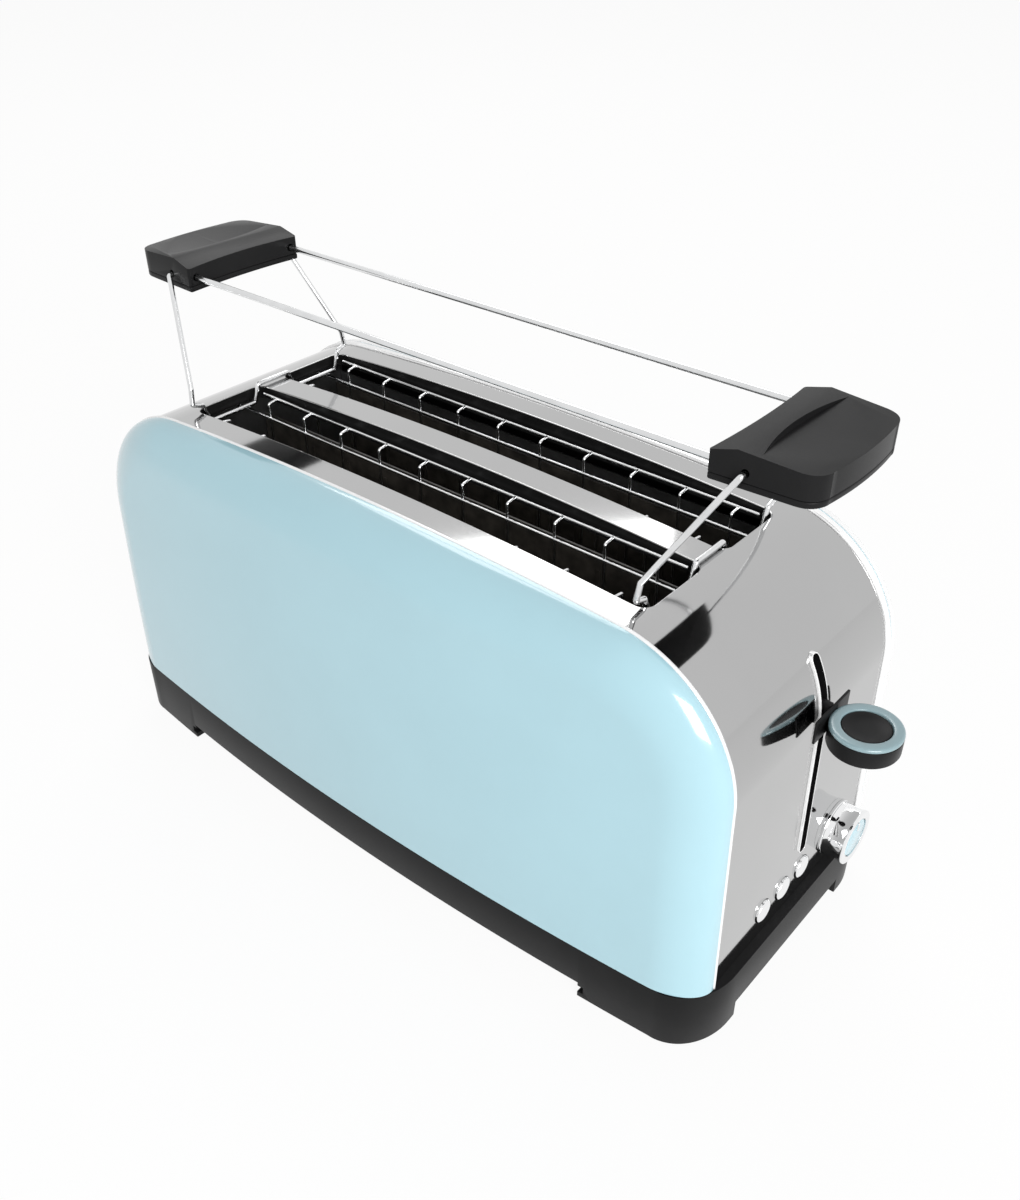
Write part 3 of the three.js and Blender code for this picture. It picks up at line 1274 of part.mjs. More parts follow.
guardPlanes().forEach((plane) => addPart(`bread_guard_${plane.name}`, breadGuard(plane), 'plainSteel'));
addPart('carriage_bracket', carriageBracket(), 'plainSteel');
addPart('armature', armature(), 'plainSteel');
addPart('lift_spring', liftSpring(), 'plainSteel');
addPart('electromagnet', electromagnet(), 'copper');
addPart('lever_arm', leverArm(), 'blackPlastic');
addPart('lever_knob', leverKnob(), 'blackPlastic');
addPart('lever_ring', leverRing(), 'bluePaint');
addPart('dial_knob', dialKnob(), 'chrome');
addPart('dial_inset', dialInset(), 'bluePaint');
addPart('dial_pointer', dialPointer(), 'chrome');
addPart('dial_shaft', dialShaft(), 'plainSteel');
addPart('dial_potentiometer', dialPotentiometer(), 'blackPlastic');
buttonRows().forEach((y, i) => addPart(`push_button_${i + 1}`, pushButton(y), 'chrome'));
addPart('control_board', controlBoard(), 'circuitGreen');
addPart('crumb_tray', crumbTray(), 'plainSteel');
addPart('tray_grip', trayGrip(), 'blackPlastic');
addPart('cord_gland', cordGland(), 'blackPlastic');

export default group;
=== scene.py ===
"""Looks of the long-slot toaster: the CAD frame dressed with smooth skins and procedural finishes."""

import math

import bmesh
import bpy
import numpy as np
from mathutils import Matrix, Vector


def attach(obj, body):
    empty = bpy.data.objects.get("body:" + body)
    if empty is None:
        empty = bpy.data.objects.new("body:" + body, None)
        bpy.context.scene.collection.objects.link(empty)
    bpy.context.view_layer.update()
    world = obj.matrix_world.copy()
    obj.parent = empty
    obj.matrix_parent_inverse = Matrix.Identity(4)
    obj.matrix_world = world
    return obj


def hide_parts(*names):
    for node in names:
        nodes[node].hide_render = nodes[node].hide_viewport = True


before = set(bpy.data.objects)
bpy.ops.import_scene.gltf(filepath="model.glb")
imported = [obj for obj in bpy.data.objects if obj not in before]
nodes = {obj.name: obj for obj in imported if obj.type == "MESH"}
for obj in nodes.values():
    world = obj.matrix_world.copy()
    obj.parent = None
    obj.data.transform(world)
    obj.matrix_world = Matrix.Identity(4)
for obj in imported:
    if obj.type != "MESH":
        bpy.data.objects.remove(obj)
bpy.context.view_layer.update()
scene = bpy.context.scene
MM = 0.001
SIDES = {"front": -1, "rear": 1}
ENDS = {"control": 1, "tray": -1}
CENTRE_X = 13.7

# Camera at the photograph's viewpoint: its place in millimetres, the rest in degrees and pixels

CAMERA_X, CAMERA_Y, CAMERA_Z = 339.88, -363.12, 452.39
IMAGE_HEIGHT, FOCAL_LENGTH, SHIFT_X, SHIFT_Y = 1200, 1168.68, -2.6, 30.12
SENSOR_HEIGHT = 36
YAW, PITCH, ROLL = (math.radians(a) for a in (40.44, -35.61, -0.24))
forward = Vector((-math.sin(YAW) * math.cos(PITCH), math.cos(YAW) * math.cos(PITCH), math.sin(PITCH)))
level_right = forward.cross(Vector((0, 0, 1))).normalized()
level_up = level_right.cross(forward)
right = level_right * math.cos(ROLL) + level_up * math.sin(ROLL)
up = -level_right * math.sin(ROLL) + level_up * math.cos(ROLL)
camera = bpy.data.objects.new("camera", bpy.data.cameras.new("camera"))
turned = Matrix((right, up, -forward)).transposed().to_4x4()
camera.matrix_world = Matrix.Translation(Vector((CAMERA_X - CENTRE_X, CAMERA_Y, CAMERA_Z)) * MM) @ turned
camera.data.sensor_fit = "VERTICAL"
camera.data.sensor_height = SENSOR_HEIGHT
camera.data.lens = FOCAL_LENGTH / IMAGE_HEIGHT * SENSOR_HEIGHT
camera.data.shift_x = SHIFT_X / IMAGE_HEIGHT
camera.data.shift_y = SHIFT_Y / IMAGE_HEIGHT
camera.data.clip_start = 0.01
scene.collection.objects.link(camera)
scene.camera = camera
scene.view_settings.view_transform = "Standard"


# Finishes: each has its own grain and tone variation, and some a relief

TONE_EDGES = (0.35, 0.65)
GRAIN_DETAIL, GRAIN_ROUGHNESS = 6, 0.6
RELIEF_DEPTH = 0.0002


def link(tree, a, b):
    tree.links.new(a, b)


def texture_space(tree, stretch):
    place = tree.nodes.new("ShaderNodeTexCoord")
    mapping = tree.nodes.new("ShaderNodeMapping")
    mapping.inputs["Scale"].default_value = stretch
    link(tree, place.outputs["Object"], mapping.inputs["Vector"])
    return mapping.outputs["Vector"]


def noise(tree, vector, scale, detail=4, rough=0.55):
    node = tree.nodes.new("ShaderNodeTexNoise")
    node.inputs["Scale"].default_value = scale
    node.inputs["Detail"].default_value = detail
    node.inputs["Roughness"].default_value = rough
    link(tree, vector, node.inputs["Vector"])
    return node.outputs["Fac"]


def ramp(tree, value, stops):
    node = tree.nodes.new("ShaderNodeValToRGB")
    elements = node.color_ramp.elements
    while len(elements) < len(stops):
        elements.new(0.5)
    for element, (place, color) in zip(elements, stops):
        element.position = place
        element.color = (*color, 1)
    link(tree, value, node.inputs["Fac"])
    return node.outputs["Color"]


def mapped(tree, value, low, high):
    node = tree.nodes.new("ShaderNodeMapRange")
    node.inputs["To Min"].default_value = low
    node.inputs["To Max"].default_value = high
    link(tree, value, node.inputs["Value"])
    return node.outputs["Result"]


def finish(name, color, metallic=0.0, rough=(0.3, 0.4), tone=0.06, tone_scale=30, grain=900,
           stretch=(1, 1, 1), relief=0.0, coat=0.0, coat_rough=0.03, specular=0.5):
    """A finish whose tone varies softly and whose roughness and relief follow a fine grain."""
    material = bpy.data.materials.new(name)
    material.use_nodes = True
    tree = material.node_tree
    shader = tree.nodes["Principled BSDF"]
    shader.inputs["Metallic"].default_value = metallic
    shader.inputs["Coat Weight"].default_value = coat
    shader.inputs["Coat Roughness"].default_value = coat_rough
    shader.inputs["Specular IOR Level"].default_value = specular
    space = texture_space(tree, stretch)
    dark = tuple(c * (1 - tone) for c in color)
    light = tuple(min(c * (1 + tone), 1) for c in color)
    tones = list(zip(TONE_EDGES, (dark, light)))
    link(tree, ramp(tree, noise(tree, space, tone_scale), tones), shader.inputs["Base Color"])
    fine = noise(tree, space, grain, GRAIN_DETAIL, GRAIN_ROUGHNESS)
    link(tree, mapped(tree, fine, *rough), shader.inputs["Roughness"])
    if relief:
        bump = tree.nodes.new("ShaderNodeBump")
        bump.inputs["Strength"].default_value = relief
        bump.inputs["Distance"].default_value = RELIEF_DEPTH
        link(tree, fine, bump.inputs["Height"])
        link(tree, bump.outputs["Normal"], shader.inputs["Normal"])
    return material


STAINLESS = finish("polished_stainless", (0.47, 0.47, 0.47), 1, (0.05, 0.09), 0.02, 9, 700)
CHROME = finish("chrome", (0.86, 0.865, 0.87), 1, (0.02, 0.05), 0.01, 60, 1500)
TRIM = finish("bright_trim", (0.9, 0.9, 0.9), 0.4, (0.08, 0.14), 0.01, 60, 1500)
# Near-black steel for the slot lips' upright faces and the panels' inner faces: painted shade, and on the
# lips a painted dark reflection of the slot's inside
SHADE_PAINTED_STEEL = finish("heat_darkened_steel", (0.02, 0.02, 0.02), 0.6, (0.25, 0.4), 0.2, 40, 700, specular=0.1)
BLUE = finish("pale_blue_enamel", (0.385, 0.61, 0.685), 0, (0.16, 0.22), 0.015, 14, 350, coat=0.8,
              coat_rough=0.04, relief=0.012)
BLACK = finish("black_moulding", (0.008, 0.008, 0.0083), 0, (0.32, 0.44), 0.2, 40, 2600, relief=0.12,
               specular=0.12)
# The knob ring's blue is the panel's blue made darker as painted shade
SHADED_RING_BLUE = finish("ring_enamel", (0.245, 0.355, 0.385), 0, (0.2, 0.28), 0.02, 60, 700, coat=0.4,
                   coat_rough=0.08)
HANDLE = finish("dark_handle_moulding", (0.011, 0.011, 0.0114), 0, (0.26, 0.36), 0.12, 40, 3000,
                relief=0.14, specular=0.1)
STEEL = finish("plain_sheet_steel", (0.30, 0.305, 0.31), 1, (0.3, 0.42), 0.08, 25, 500, (1, 1, 0.15))
WIRE = finish("bright_wire", (0.72, 0.725, 0.73), 1, (0.12, 0.2), 0.04, 90, 900)
MICA = finish("mica_board", (0.035, 0.031, 0.026), 0, (0.3, 0.6), 0.5, 120, 400, relief=0.2)
RUBBER = finish("black_rubber", (0.015, 0.015, 0.015), 0, (0.7, 0.9), 0.2, 60, 1800, relief=0.2)
CIRCUIT = finish("circuit_board", (0.02, 0.09, 0.045), 0, (0.25, 0.4), 0.2, 150, 1200)
COPPER = finish("copper_winding", (0.55, 0.22, 0.09), 1, (0.25, 0.4), 0.15, 60, 900, (1, 1, 14),
                relief=0.3)

# Carried-over CAD nodes: how their names start, and the finish of each

FINISH_OF = {
    "bottom_plate": STEEL, "carriage_bracket": STEEL, "armature": STEEL, "lift_spring": WIRE,
    "electromagnet": COPPER, "lever_arm": BLACK, "dial_shaft": STEEL, "dial_potentiometer": BLACK,
    "control_board": CIRCUIT, "crumb_tray": STEEL, "chassis_plate": STEEL, "heat_shield": STEEL,
    "bread_rack": STEEL, "guide_rod": STEEL, "heater_board": MICA, "foot_pad": RUBBER,
    "tray_grip": BLACK, "cord_gland": BLACK,
}
for name, node in nodes.items():
    for start, chosen in FINISH_OF.items():
        if name.startswith(start):
            node.data.materials.clear()
            node.data.materials.append(chosen)


# Sizes in millimetres. The lever slot's are the photograph's, narrower than in the part's source

WRAP_END, WRAP_SIDE, WRAP_FOOT = 195, 62.6, 33.3
CROWN_HEIGHT, CROWN_RADIUS, SHOULDER_RADIUS, SHOULDER_X = 201.5, 2180, 62, 133
CROWN_CENTRE = CROWN_HEIGHT - CROWN_RADIUS
SHOULDER_Z = CROWN_CENTRE + math.sqrt((CROWN_RADIUS - SHOULDER_RADIUS) ** 2 - SHOULDER_X ** 2)
CROWN_ANGLE = math.asin(SHOULDER_X / (CROWN_RADIUS - SHOULDER_RADIUS))
SLOT_END, SLOT_Y, SLOT_HALF, SLOT_CORNER, LIP_BOTTOM = 139.7, 28.3, 20.8, 6, 191
SKIRT_END, SKIRT_SIDE, SKIRT_TOP, SKIRT_LOW = 201.8, 90.7, 33, 10.1
CORNER_LENGTH, CORNER_WIDTH, BOW_RADIUS = 23.8, 29.8, 1777
CONTROL_Y, DIAL_Y, DIAL_Z = 5, 39, 51.2
BUTTON_Z, BUTTON_RADIUS, BUTTON_MIDDLE, BUTTON_SPACING = 48, 5.75, -8.1, 17.3
BUTTON_ROWS = [BUTTON_MIDDLE - BUTTON_SPACING, BUTTON_MIDDLE, BUTTON_MIDDLE + BUTTON_SPACING]
LEVER_GAP, LEVER_MIDDLE, LEVER_BOTTOM, LEVER_TOP = 2.6, 4.6, 62.5, 168.5


# Mesh building

def piece(name, verts, faces, material, body, smooth=30):
    """A mesh object from corners in millimetres, smooth but for edges sharper than an angle."""
    mesh = bpy.data.meshes.new(name)
    mesh.from_pydata([tuple(c * MM for c in v) for v in verts], [], faces)
    mesh.validate()
    tidy = bmesh.new()
    tidy.from_mesh(mesh)
    bmesh.ops.remove_doubles(tidy, verts=tidy.verts, dist=1e-6)
    bmesh.ops.recalc_face_normals(tidy, faces=tidy.faces)
    tidy.to_mesh(mesh)
    tidy.free()
    shade(mesh, smooth)
    mesh.materials.append(material)
    made = bpy.data.objects.new(name, mesh)
    scene.collection.objects.link(made)
    if body:
        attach(made, body)
    return made


def shade(mesh, angle):
    mesh.shade_smooth()
    mesh.set_sharp_from_angle(angle=math.radians(angle))


def applied(made, smooth=30):
    """Bakes the modifiers of an object into its mesh."""
    bpy.context.view_layer.update()
    result = bpy.data.meshes.new_from_object(made.evaluated_get(bpy.context.evaluated_depsgraph_get()))
    made.modifiers.clear()
    made.data = result
    shade(result, smooth)
    return made


def carve(made, cutters, smooth=30):
    for cutter in cutters:
        change = made.modifiers.new("cut", "BOOLEAN")
        change.operation = "DIFFERENCE"
        change.solver = "EXACT"
        change.object = cutter
    applied(made, smooth)
    for cutter in cutters:
        bpy.data.objects.remove(cutter)
    return made


def bevel(made, width, segments=3, angle=35, smooth=30):
    change = made.modifiers.new("bevel", "BEVEL")
    change.width = width * MM
    change.segments = segments
    change.limit_method = "ANGLE"
    change.angle_limit = math.radians(angle)
    change.harden_normals = False
    return applied(made, smooth)


def grid_faces(rows, columns, wrap_rows=False, wrap_columns=False):
    faces = []
    for j in range(rows if wrap_rows else rows - 1):
        for i in range(columns if wrap_columns else columns - 1):
            k, n = (i + 1) % columns, (j + 1) % rows
            faces.append((j * columns + i, j * columns + k, n * columns + k, n * columns + i))
    return faces


def prism(name, outline, low, high, axis, material, body):
    """A straight body with an outline in the other two directions."""
    place = {"x": lambda a, b, c: (c, a, b), "y": lambda a, b, c: (a, c, b),
             "z": lambda a, b, c: (a, b, c)}[axis]
    n = len(outline)
    verts = [place(a, b, low) for a, b in outline] + [place(a, b, high) for a, b in outline]
    faces = [tuple(range(n)), tuple(range(n, 2 * n))]
    faces += [(i, (i + 1) % n, n + (i + 1) % n, n + i) for i in range(n)]
    return piece(name, verts, faces, material, body)


def rounded_box(a, b, radius, steps=10):
    """Outline of a rectangle with round corners, anticlockwise."""
    points = []
    for i, (x, y) in enumerate([(a[1] - radius, b[1] - radius), (a[0] + radius, b[1] - radius),
                                (a[0] + radius, b[0] + radius), (a[1] - radius, b[0] + radius)]):
        for s in range(steps + 1):
            angle = (i + s / steps) * math.pi / 2
            points.append((x + radius * math.cos(angle), y + radius * math.sin(angle)))
    return points


def disc(centre, radius, sides=64):
    return [(centre[0] + radius * math.cos(t), centre[1] + radius * math.sin(t))
            for t in np.linspace(0, 2 * math.pi, sides, endpoint=False)]


def lathe(name, profile, origin, axis, material, body, sides=96, smooth=30):
    """A turned body. The profile gives distance along the axis and radius."""
    verts = []
    for t in np.linspace(0, 2 * math.pi, sides, endpoint=False):
        for along, radius in profile:
            c, s = radius * math.cos(t), radius * math.sin(t)
            local = (along, c, s) if axis == "x" else (c, s, along)
            verts.append(tuple(o + v for o, v in zip(origin, local)))
    return piece(name, verts, grid_faces(sides, len(profile), wrap_rows=True), material, body, smooth)


def bent(points, radii, steps=8):
    """A route through points, each corner turned into an arc of the given radius."""
    route = []
    for i, (point, radius) in enumerate(zip(points, radii)):
        p = Vector(point)
        if radius == 0 or i in (0, len(points) - 1):
            route.append(p)
            continue
        a, b = Vector(points[i - 1]) - p, Vector(points[i + 1]) - p
        half = a.angle(b) / 2
        cut = min(radius / math.tan(half), a.length * 0.48, b.length * 0.48)
        start, end = p + a.normalized() * cut, p + b.normalized() * cut
        centre = p + (a.normalized() + b.normalized()).normalized() * cut / math.cos(half)
        first, last = start - centre, end - centre
        for s in range(steps + 1):
            route.append(centre + first.slerp(last, s / steps))
    return route


def tube_form(route, radius, sides):
    """Corners and faces of a round wire along a route, with its ends closed by small rounds."""
    route = [Vector(p) for p in route]
    tangents = [(route[min(i + 1, len(route) - 1)] - route[max(i - 1, 0)]).normalized()
                for i in range(len(route))]
    side = tangents[0].orthogonal().normalized()
    rings = []
    for i, (p, t) in enumerate(zip(route, tangents)):
        side = (side - t * side.dot(t)).normalized()
        rings.append((p, t, side, radius))
    ends = [(math.sin(a), math.cos(a)) for a in np.linspace(0, math.pi / 2, 5)][1:-1]
    lead = [(rings[0][0] - rings[0][1] * radius * 0.3 * s, *rings[0][1:3], radius * (0.7 + 0.3 * c))
            for s, c in reversed(ends)]
    tail = [(rings[-1][0] + rings[-1][1] * radius * 0.3 * s, *rings[-1][1:3], radius * (0.7 + 0.3 * c))
            for s, c in ends]
    rings = lead + rings + tail
    verts = []
    for p, t, s, r in rings:
        other = t.cross(s)
        verts += [tuple(p + (s * math.cos(a) + other * math.sin(a)) * r)
                  for a in np.linspace(0, 2 * math.pi, sides, endpoint=False)]
    faces = grid_faces(len(rings), sides, wrap_columns=True)
    faces += [tuple(range(sides)), tuple(range(len(verts) - sides, len(verts)))]
    return verts, faces


def tubes(name, routes, radius, material, body, sides=20):
    """One object from several round wires."""
    verts, faces = [], []
    for route in routes:
        corners, sheets = tube_form(route, radius, sides)
        faces += [tuple(v + len(verts) for v in f) for f in sheets]
        verts += corners
    return piece(name, verts, faces, material, body, 50)


# The arch of the wrap

WALL_STEPS, SHOULDER_STEPS, CROWN_STEPS = 6, 72, 48


def arch(offset):
    """Points and outward normals of the arch seen from the side, from the control end to the tray."""
    half = [((WRAP_END + offset, z), (1, 0))
            for z in np.linspace(WRAP_FOOT, SHOULDER_Z, WALL_STEPS, endpoint=False)]
    for a in np.linspace(0, math.pi / 2 - CROWN_ANGLE, SHOULDER_STEPS, endpoint=False):
        n = (math.cos(a), math.sin(a))
        half.append(((SHOULDER_X + (SHOULDER_RADIUS + offset) * n[0],
                      SHOULDER_Z + (SHOULDER_RADIUS + offset) * n[1]), n))
    for a in np.linspace(CROWN_ANGLE, 0, CROWN_STEPS, endpoint=False):
        n = (math.sin(a), math.cos(a))
        half.append((((CROWN_RADIUS + offset) * n[0], CROWN_CENTRE + (CROWN_RADIUS + offset) * n[1]), n))
    other = [((-x, z), (-nx, nz)) for (x, z), (nx, nz) in reversed(half)]
    return half + [((0, CROWN_HEIGHT + offset), (0, 1))] + other


def arch_height(x, offset=0.0):
    reach = abs(x)
    if reach <= math.sin(CROWN_ANGLE) * (CROWN_RADIUS + offset):
        return CROWN_CENTRE + math.sqrt((CROWN_RADIUS + offset) ** 2 - reach ** 2)
    return SHOULDER_Z + math.sqrt(max((SHOULDER_RADIUS + offset) ** 2 - (reach - SHOULDER_X) ** 2, 0))


def arch_normal(x, z):
    """Outward direction of the arch at a point on or near it."""
    reach = abs(x)
    if z <= SHOULDER_Z:
        return Vector((math.copysign(1, x), 0, 0))
    if reach > SHOULDER_X - 2 and math.atan2(z - SHOULDER_Z, reach - SHOULDER_X) < math.pi / 2 - CROWN_ANGLE:
        n = Vector((reach - SHOULDER_X, 0, z - SHOULDER_Z)).normalized()
    else:
        n = Vector((reach, 0, z - CROWN_CENTRE)).normalized()
    return Vector((math.copysign(n.x, x), 0, n.z))


def arch_sweep(name, section, material, body, smooth=30):
    """A closed section of offset and Y carried round the arch."""
    rings = [[(x, y, z) for (x, z), _ in arch(offset)] for offset, y in section]
    count = len(rings[0])
    verts = [v for ring in rings for v in ring]
    faces = grid_faces(len(rings), count, wrap_rows=True)
    faces.append(tuple(k * count for k in range(len(rings))))
    faces.append(tuple(k * count + count - 1 for k in range(len(rings))))
    return piece(name, verts, faces, material, body, smooth)


# Stainless wrap with rolled lips round the slots

WRAP_WALL = 1
LIP_ROLL, LIP_WALL, LIP_OVERLAP = 0.5, 0.9, 0.2
LEVER_CLEARANCE, LEVER_FOOT_CLEARANCE, BUTTON_CLEARANCE, DIAL_SHAFT_HOLE = 0.25, 0.3, 0.3, 3.3
THROUGH = (150, 230)


def wrap_holes():
    """Cutters for the bread slots, the lever slot, the dial's shaft and the buttons."""
    def through(outline, axis):
        return prism("cut", outline, *THROUGH, axis, STAINLESS, None)

    reach, half = SLOT_END + LIP_ROLL, SLOT_HALF + LIP_ROLL
    holes = [through(rounded_box((-reach, reach), (sign * SLOT_Y - half, sign * SLOT_Y + half),
                                 SLOT_CORNER + LIP_ROLL, 16), "z") for sign in (-1, 1)]
    half = LEVER_GAP + LEVER_CLEARANCE
    height = (LEVER_BOTTOM - LEVER_FOOT_CLEARANCE, LEVER_TOP + LEVER_CLEARANCE)
    lever = rounded_box((LEVER_MIDDLE - half, LEVER_MIDDLE + half), height, half - 0.15, 12)
    holes.append(through(lever, "x"))
    holes.append(through(disc((DIAL_Y, DIAL_Z), DIAL_SHAFT_HOLE), "x"))
    holes += [through(disc((y, BUTTON_Z), BUTTON_RADIUS + BUTTON_CLEARANCE), "x") for y in BUTTON_ROWS]
    return holes


def body_skin():
    layers = (arch(0), arch(-WRAP_WALL))
    verts = [(x, y, z) for layer in layers for y in (-WRAP_SIDE, WRAP_SIDE) for (x, z), _ in layer]
    n = len(layers[0])

    def at(layer, row, i):
        return (layer * 2 + row) * n + i

    faces = []
    for i in range(n - 1):
        for layer in (0, 1):
            faces.append((at(layer, 0, i), at(layer, 0, i + 1), at(layer, 1, i + 1), at(layer, 1, i)))
        for row in (0, 1):
            faces.append((at(0, row, i), at(0, row, i + 1), at(1, row, i + 1), at(1, row, i)))
    for i in (0, n - 1):
        faces.append((at(0, 0, i), at(0, 1, i), at(1, 1, i), at(1, 0, i)))
    skin = piece("wrap_skin", verts, faces, STAINLESS, None)
    carve(skin, wrap_holes())
    smooth_like_arch(skin.data)
    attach(skin, "body")
    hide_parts("body_wrap")


def smooth_like_arch(mesh):
    """Gives faces that lie along the arch its exact outward direction, so that reflections run clean."""
    normals = []
    for polygon in mesh.polygons:
        for loop in polygon.loop_indices:
            v = mesh.vertices[mesh.loops[loop].vertex_index].co
            exact = arch_normal(v.x / MM, v.z / MM)
            facing = polygon.normal.dot(exact)
            normals.append(exact if facing > 0.97 else -exact if facing < -0.97 else polygon.normal.copy())
    mesh.normals_split_custom_set(normals)


def slot_lip(name, sign):
    """The turned-down edge of a slot: a quarter roll, then a straight skirt."""
    section = [(LIP_ROLL * (1 - math.sin(a)), -LIP_ROLL * (1 - math.cos(a)))
               for a in np.linspace(0, math.pi / 2, 9)]
    outline = dense(rounded_box((-SLOT_END, SLOT_END), (-SLOT_HALF, SLOT_HALF), SLOT_CORNER, 12), 12)
    n = len(outline)
    verts = []
    for i, p in enumerate(outline):
        along = (Vector(outline[(i + 1) % n]) - Vector(outline[i - 1])).normalized()
        out = Vector((along.y, -along.x))
        for offset, drop in section:
            q = Vector(p) + out * offset
            verts.append((q.x, q.y + sign * SLOT_Y, arch_height(q.x) + drop))
        hidden = Vector(p) + out * LIP_WALL
        under = arch_height(hidden.x) - LIP_ROLL - LIP_OVERLAP
        verts.append((p[0], p[1] + sign * SLOT_Y, LIP_BOTTOM))
        verts += [(hidden.x, hidden.y + sign * SLOT_Y, z) for z in (LIP_BOTTOM, under)]
    lip = piece(name, verts, grid_faces(n, len(section) + 3, wrap_rows=True), STAINLESS, "body", 40)
    # The upright faces of the lip get the near-black steel: painted shade and a painted dark reflection of
    # the slot's inside, on what is the same stainless
    lip.data.materials.append(SHADE_PAINTED_STEEL)
    for polygon in lip.data.polygons:
        polygon.material_index = int(abs(polygon.normal.z) < 0.3)


def dense(outline, gap):
    """Adds points so that no side of a closed outline is longer than a gap."""
    points = []
    for i, p in enumerate(outline):
        q = outline[(i + 1) % len(outline)]
        if math.dist(p, q) < 1e-6:
            continue
        parts = max(1, math.ceil(math.dist(p, q) / gap))
        points += [tuple(np.array(p) + (np.array(q) - np.array(p)) * s / parts) for s in range(parts)]
    return points


# Edge trims, the rear one wider and with a groove along it

TRIM_NEAR, TRIM_FAR = 62.9, {"front": 65.2, "rear": 70.5}
TRIM_PROUD, TRIM_DEPTH, TRIM_ROUND = 1.3, 3.5, 1.2
GROOVE_FLOOR = 0.7
TRIM_GROOVE = {"front": [], "rear": [(TRIM_PROUD, 66), (GROOVE_FLOOR, 66.2), (GROOVE_FLOOR, 66.8),
                                     (TRIM_PROUD, 67)]}


def trim_skin(side, sign):
    near, far = sign * TRIM_NEAR, sign * TRIM_FAR[side]
    turn = [(TRIM_PROUD - TRIM_ROUND + TRIM_ROUND * math.sin(a), TRIM_ROUND - TRIM_ROUND * math.cos(a))
            for a in np.linspace(0, math.pi / 2, 7)]
    section = [(-TRIM_DEPTH, near)] + [(o, near + sign * w) for o, w in turn]
    section += TRIM_GROOVE[side]
    section += [(o, far - sign * w) for o, w in reversed(turn)] + [(-TRIM_DEPTH, far)]
    trim = arch_sweep(f"trim_skin_{side}", section, TRIM, "body")
    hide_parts(f"edge_trim_{side}")


body_skin()
for side, sign in SIDES.items():
    slot_lip(f"slot_lip_{side}", sign)
    trim_skin(side, sign)


# Painted side panels: the same swelling form as in the source, much finer

PANEL_PROUD, PANEL_WALL, PANEL_ROUND, PANEL_LEAN = 1, 2.4, 23, 5
PANEL_EDGE = {"front": 65.4, "rear": 66.8}
PANEL_COLUMNS, PANEL_ROWS = 150, 72


def edge_distance(x, z, proud):
    reach = abs(x)
    if reach > SHOULDER_X and z > SHOULDER_Z:
        return SHOULDER_RADIUS + proud - math.hypot(reach - SHOULDER_X, z - SHOULDER_Z)
    return min(CROWN_RADIUS + proud - math.hypot(reach, z - CROWN_CENTRE), WRAP_END + proud - reach)


def bowed_side(x):
    return SKIRT_SIDE - x ** 2 / (2 * BOW_RADIUS)


def panel_layer(side, sign, inset):
    """One surface of a panel: the outer at inset 0, the inner at the wall's thickness."""
    proud = PANEL_PROUD - inset
    corners = []
    for j in range(PANEL_ROWS + 1):
        rise = math.sin(j / PANEL_ROWS * math.pi / 2)
        for i in range(PANEL_COLUMNS + 1):
            x = (WRAP_END + proud) * math.sin((i / PANEL_COLUMNS - 0.5) * math.pi)
            z = WRAP_FOOT + (arch_height(x, proud) - WRAP_FOOT) * rise
            share = min(max(edge_distance(x, z, proud), 0) / (PANEL_ROUND - inset), 1)
            swell = math.sqrt(1 - (1 - share) ** 2)
            drawn_in = PANEL_LEAN * ((z - SKIRT_TOP) / (CROWN_HEIGHT - SKIRT_TOP)) ** 2
            full, edge = bowed_side(x) - drawn_in - inset, PANEL_EDGE[side]
            corners.append((x, sign * (edge + (full - edge) * swell), z))
    return corners


def panel_skin(side, sign):
    outer = panel_layer(side, sign, 0)
    count, across = len(outer), PANEL_COLUMNS + 1
    face = grid_faces(PANEL_ROWS + 1, across)
    faces = face + [tuple(v + count for v in f) for f in face]
    rim = list(range(PANEL_COLUMNS)) + [j * across + PANEL_COLUMNS for j in range(PANEL_ROWS)]
    rim += [PANEL_ROWS * across + PANEL_COLUMNS - i for i in range(PANEL_COLUMNS)]
    rim += [(PANEL_ROWS - j) * across for j in range(PANEL_ROWS)]
    faces += [(a, b, b + count, a + count) for a, b in zip(rim, rim[1:] + rim[:1])]
    made = piece(f"panel_skin_{side}", outer + panel_layer(side, sign, PANEL_WALL), faces, BLUE, "body", 40)
    # The panel's inner faces get the near-black steel as painted shade
    made.data.materials.append(SHADE_PAINTED_STEEL)
    for polygon in made.data.polygons:
        polygon.material_index = int(all(v >= count for v in polygon.vertices))
    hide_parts(f"side_panel_{side}")


for side, sign in SIDES.items():
    panel_skin(side, sign)


# Base skirt with its feet

SKIRT_UNDER, SKIRT_WALL, SKIRT_DECK, CORNER_STEPS, SIDE_STEPS = 1, 3, 3.5, 28, 24
FOOT_LENGTH, FOOT_WIDTH, FOOT_TOP = 60.8, 43.2, 5
PAD_INSET_X, PAD_INSET_Y, PAD_HOLE, PAD_TOP = 36, 26, 10.3, 3
DECK_OPENING_X, DECK_OPENING_Y = 180, 58.3
TRAY_BAY_X, TRAY_BAY_Y, TRAY_BAY_TOP = -188, 46.6, 24
GLAND_X, GLAND_Z, GLAND_HOLE = -120, 21.5, 5.5


def skirt_outline(inset):
    corner_x = SKIRT_END - CORNER_LENGTH
    corner_y = bowed_side(corner_x) - CORNER_WIDTH
    quarter = [(corner_x + (CORNER_LENGTH - inset) * math.cos(a),
                corner_y + (CORNER_WIDTH - inset) * math.sin(a))
               for a in np.linspace(0, math.pi / 2, CORNER_STEPS + 1)]
    quarter += [(x, bowed_side(x) - inset)
                for x in np.linspace(corner_x, 0, SIDE_STEPS, endpoint=False)[1:]]
    half = quarter + [(0, SKIRT_SIDE - inset)] + [(-x, y) for x, y in reversed(quarter)]
    return half + [(x, -y) for x, y in reversed(half)]


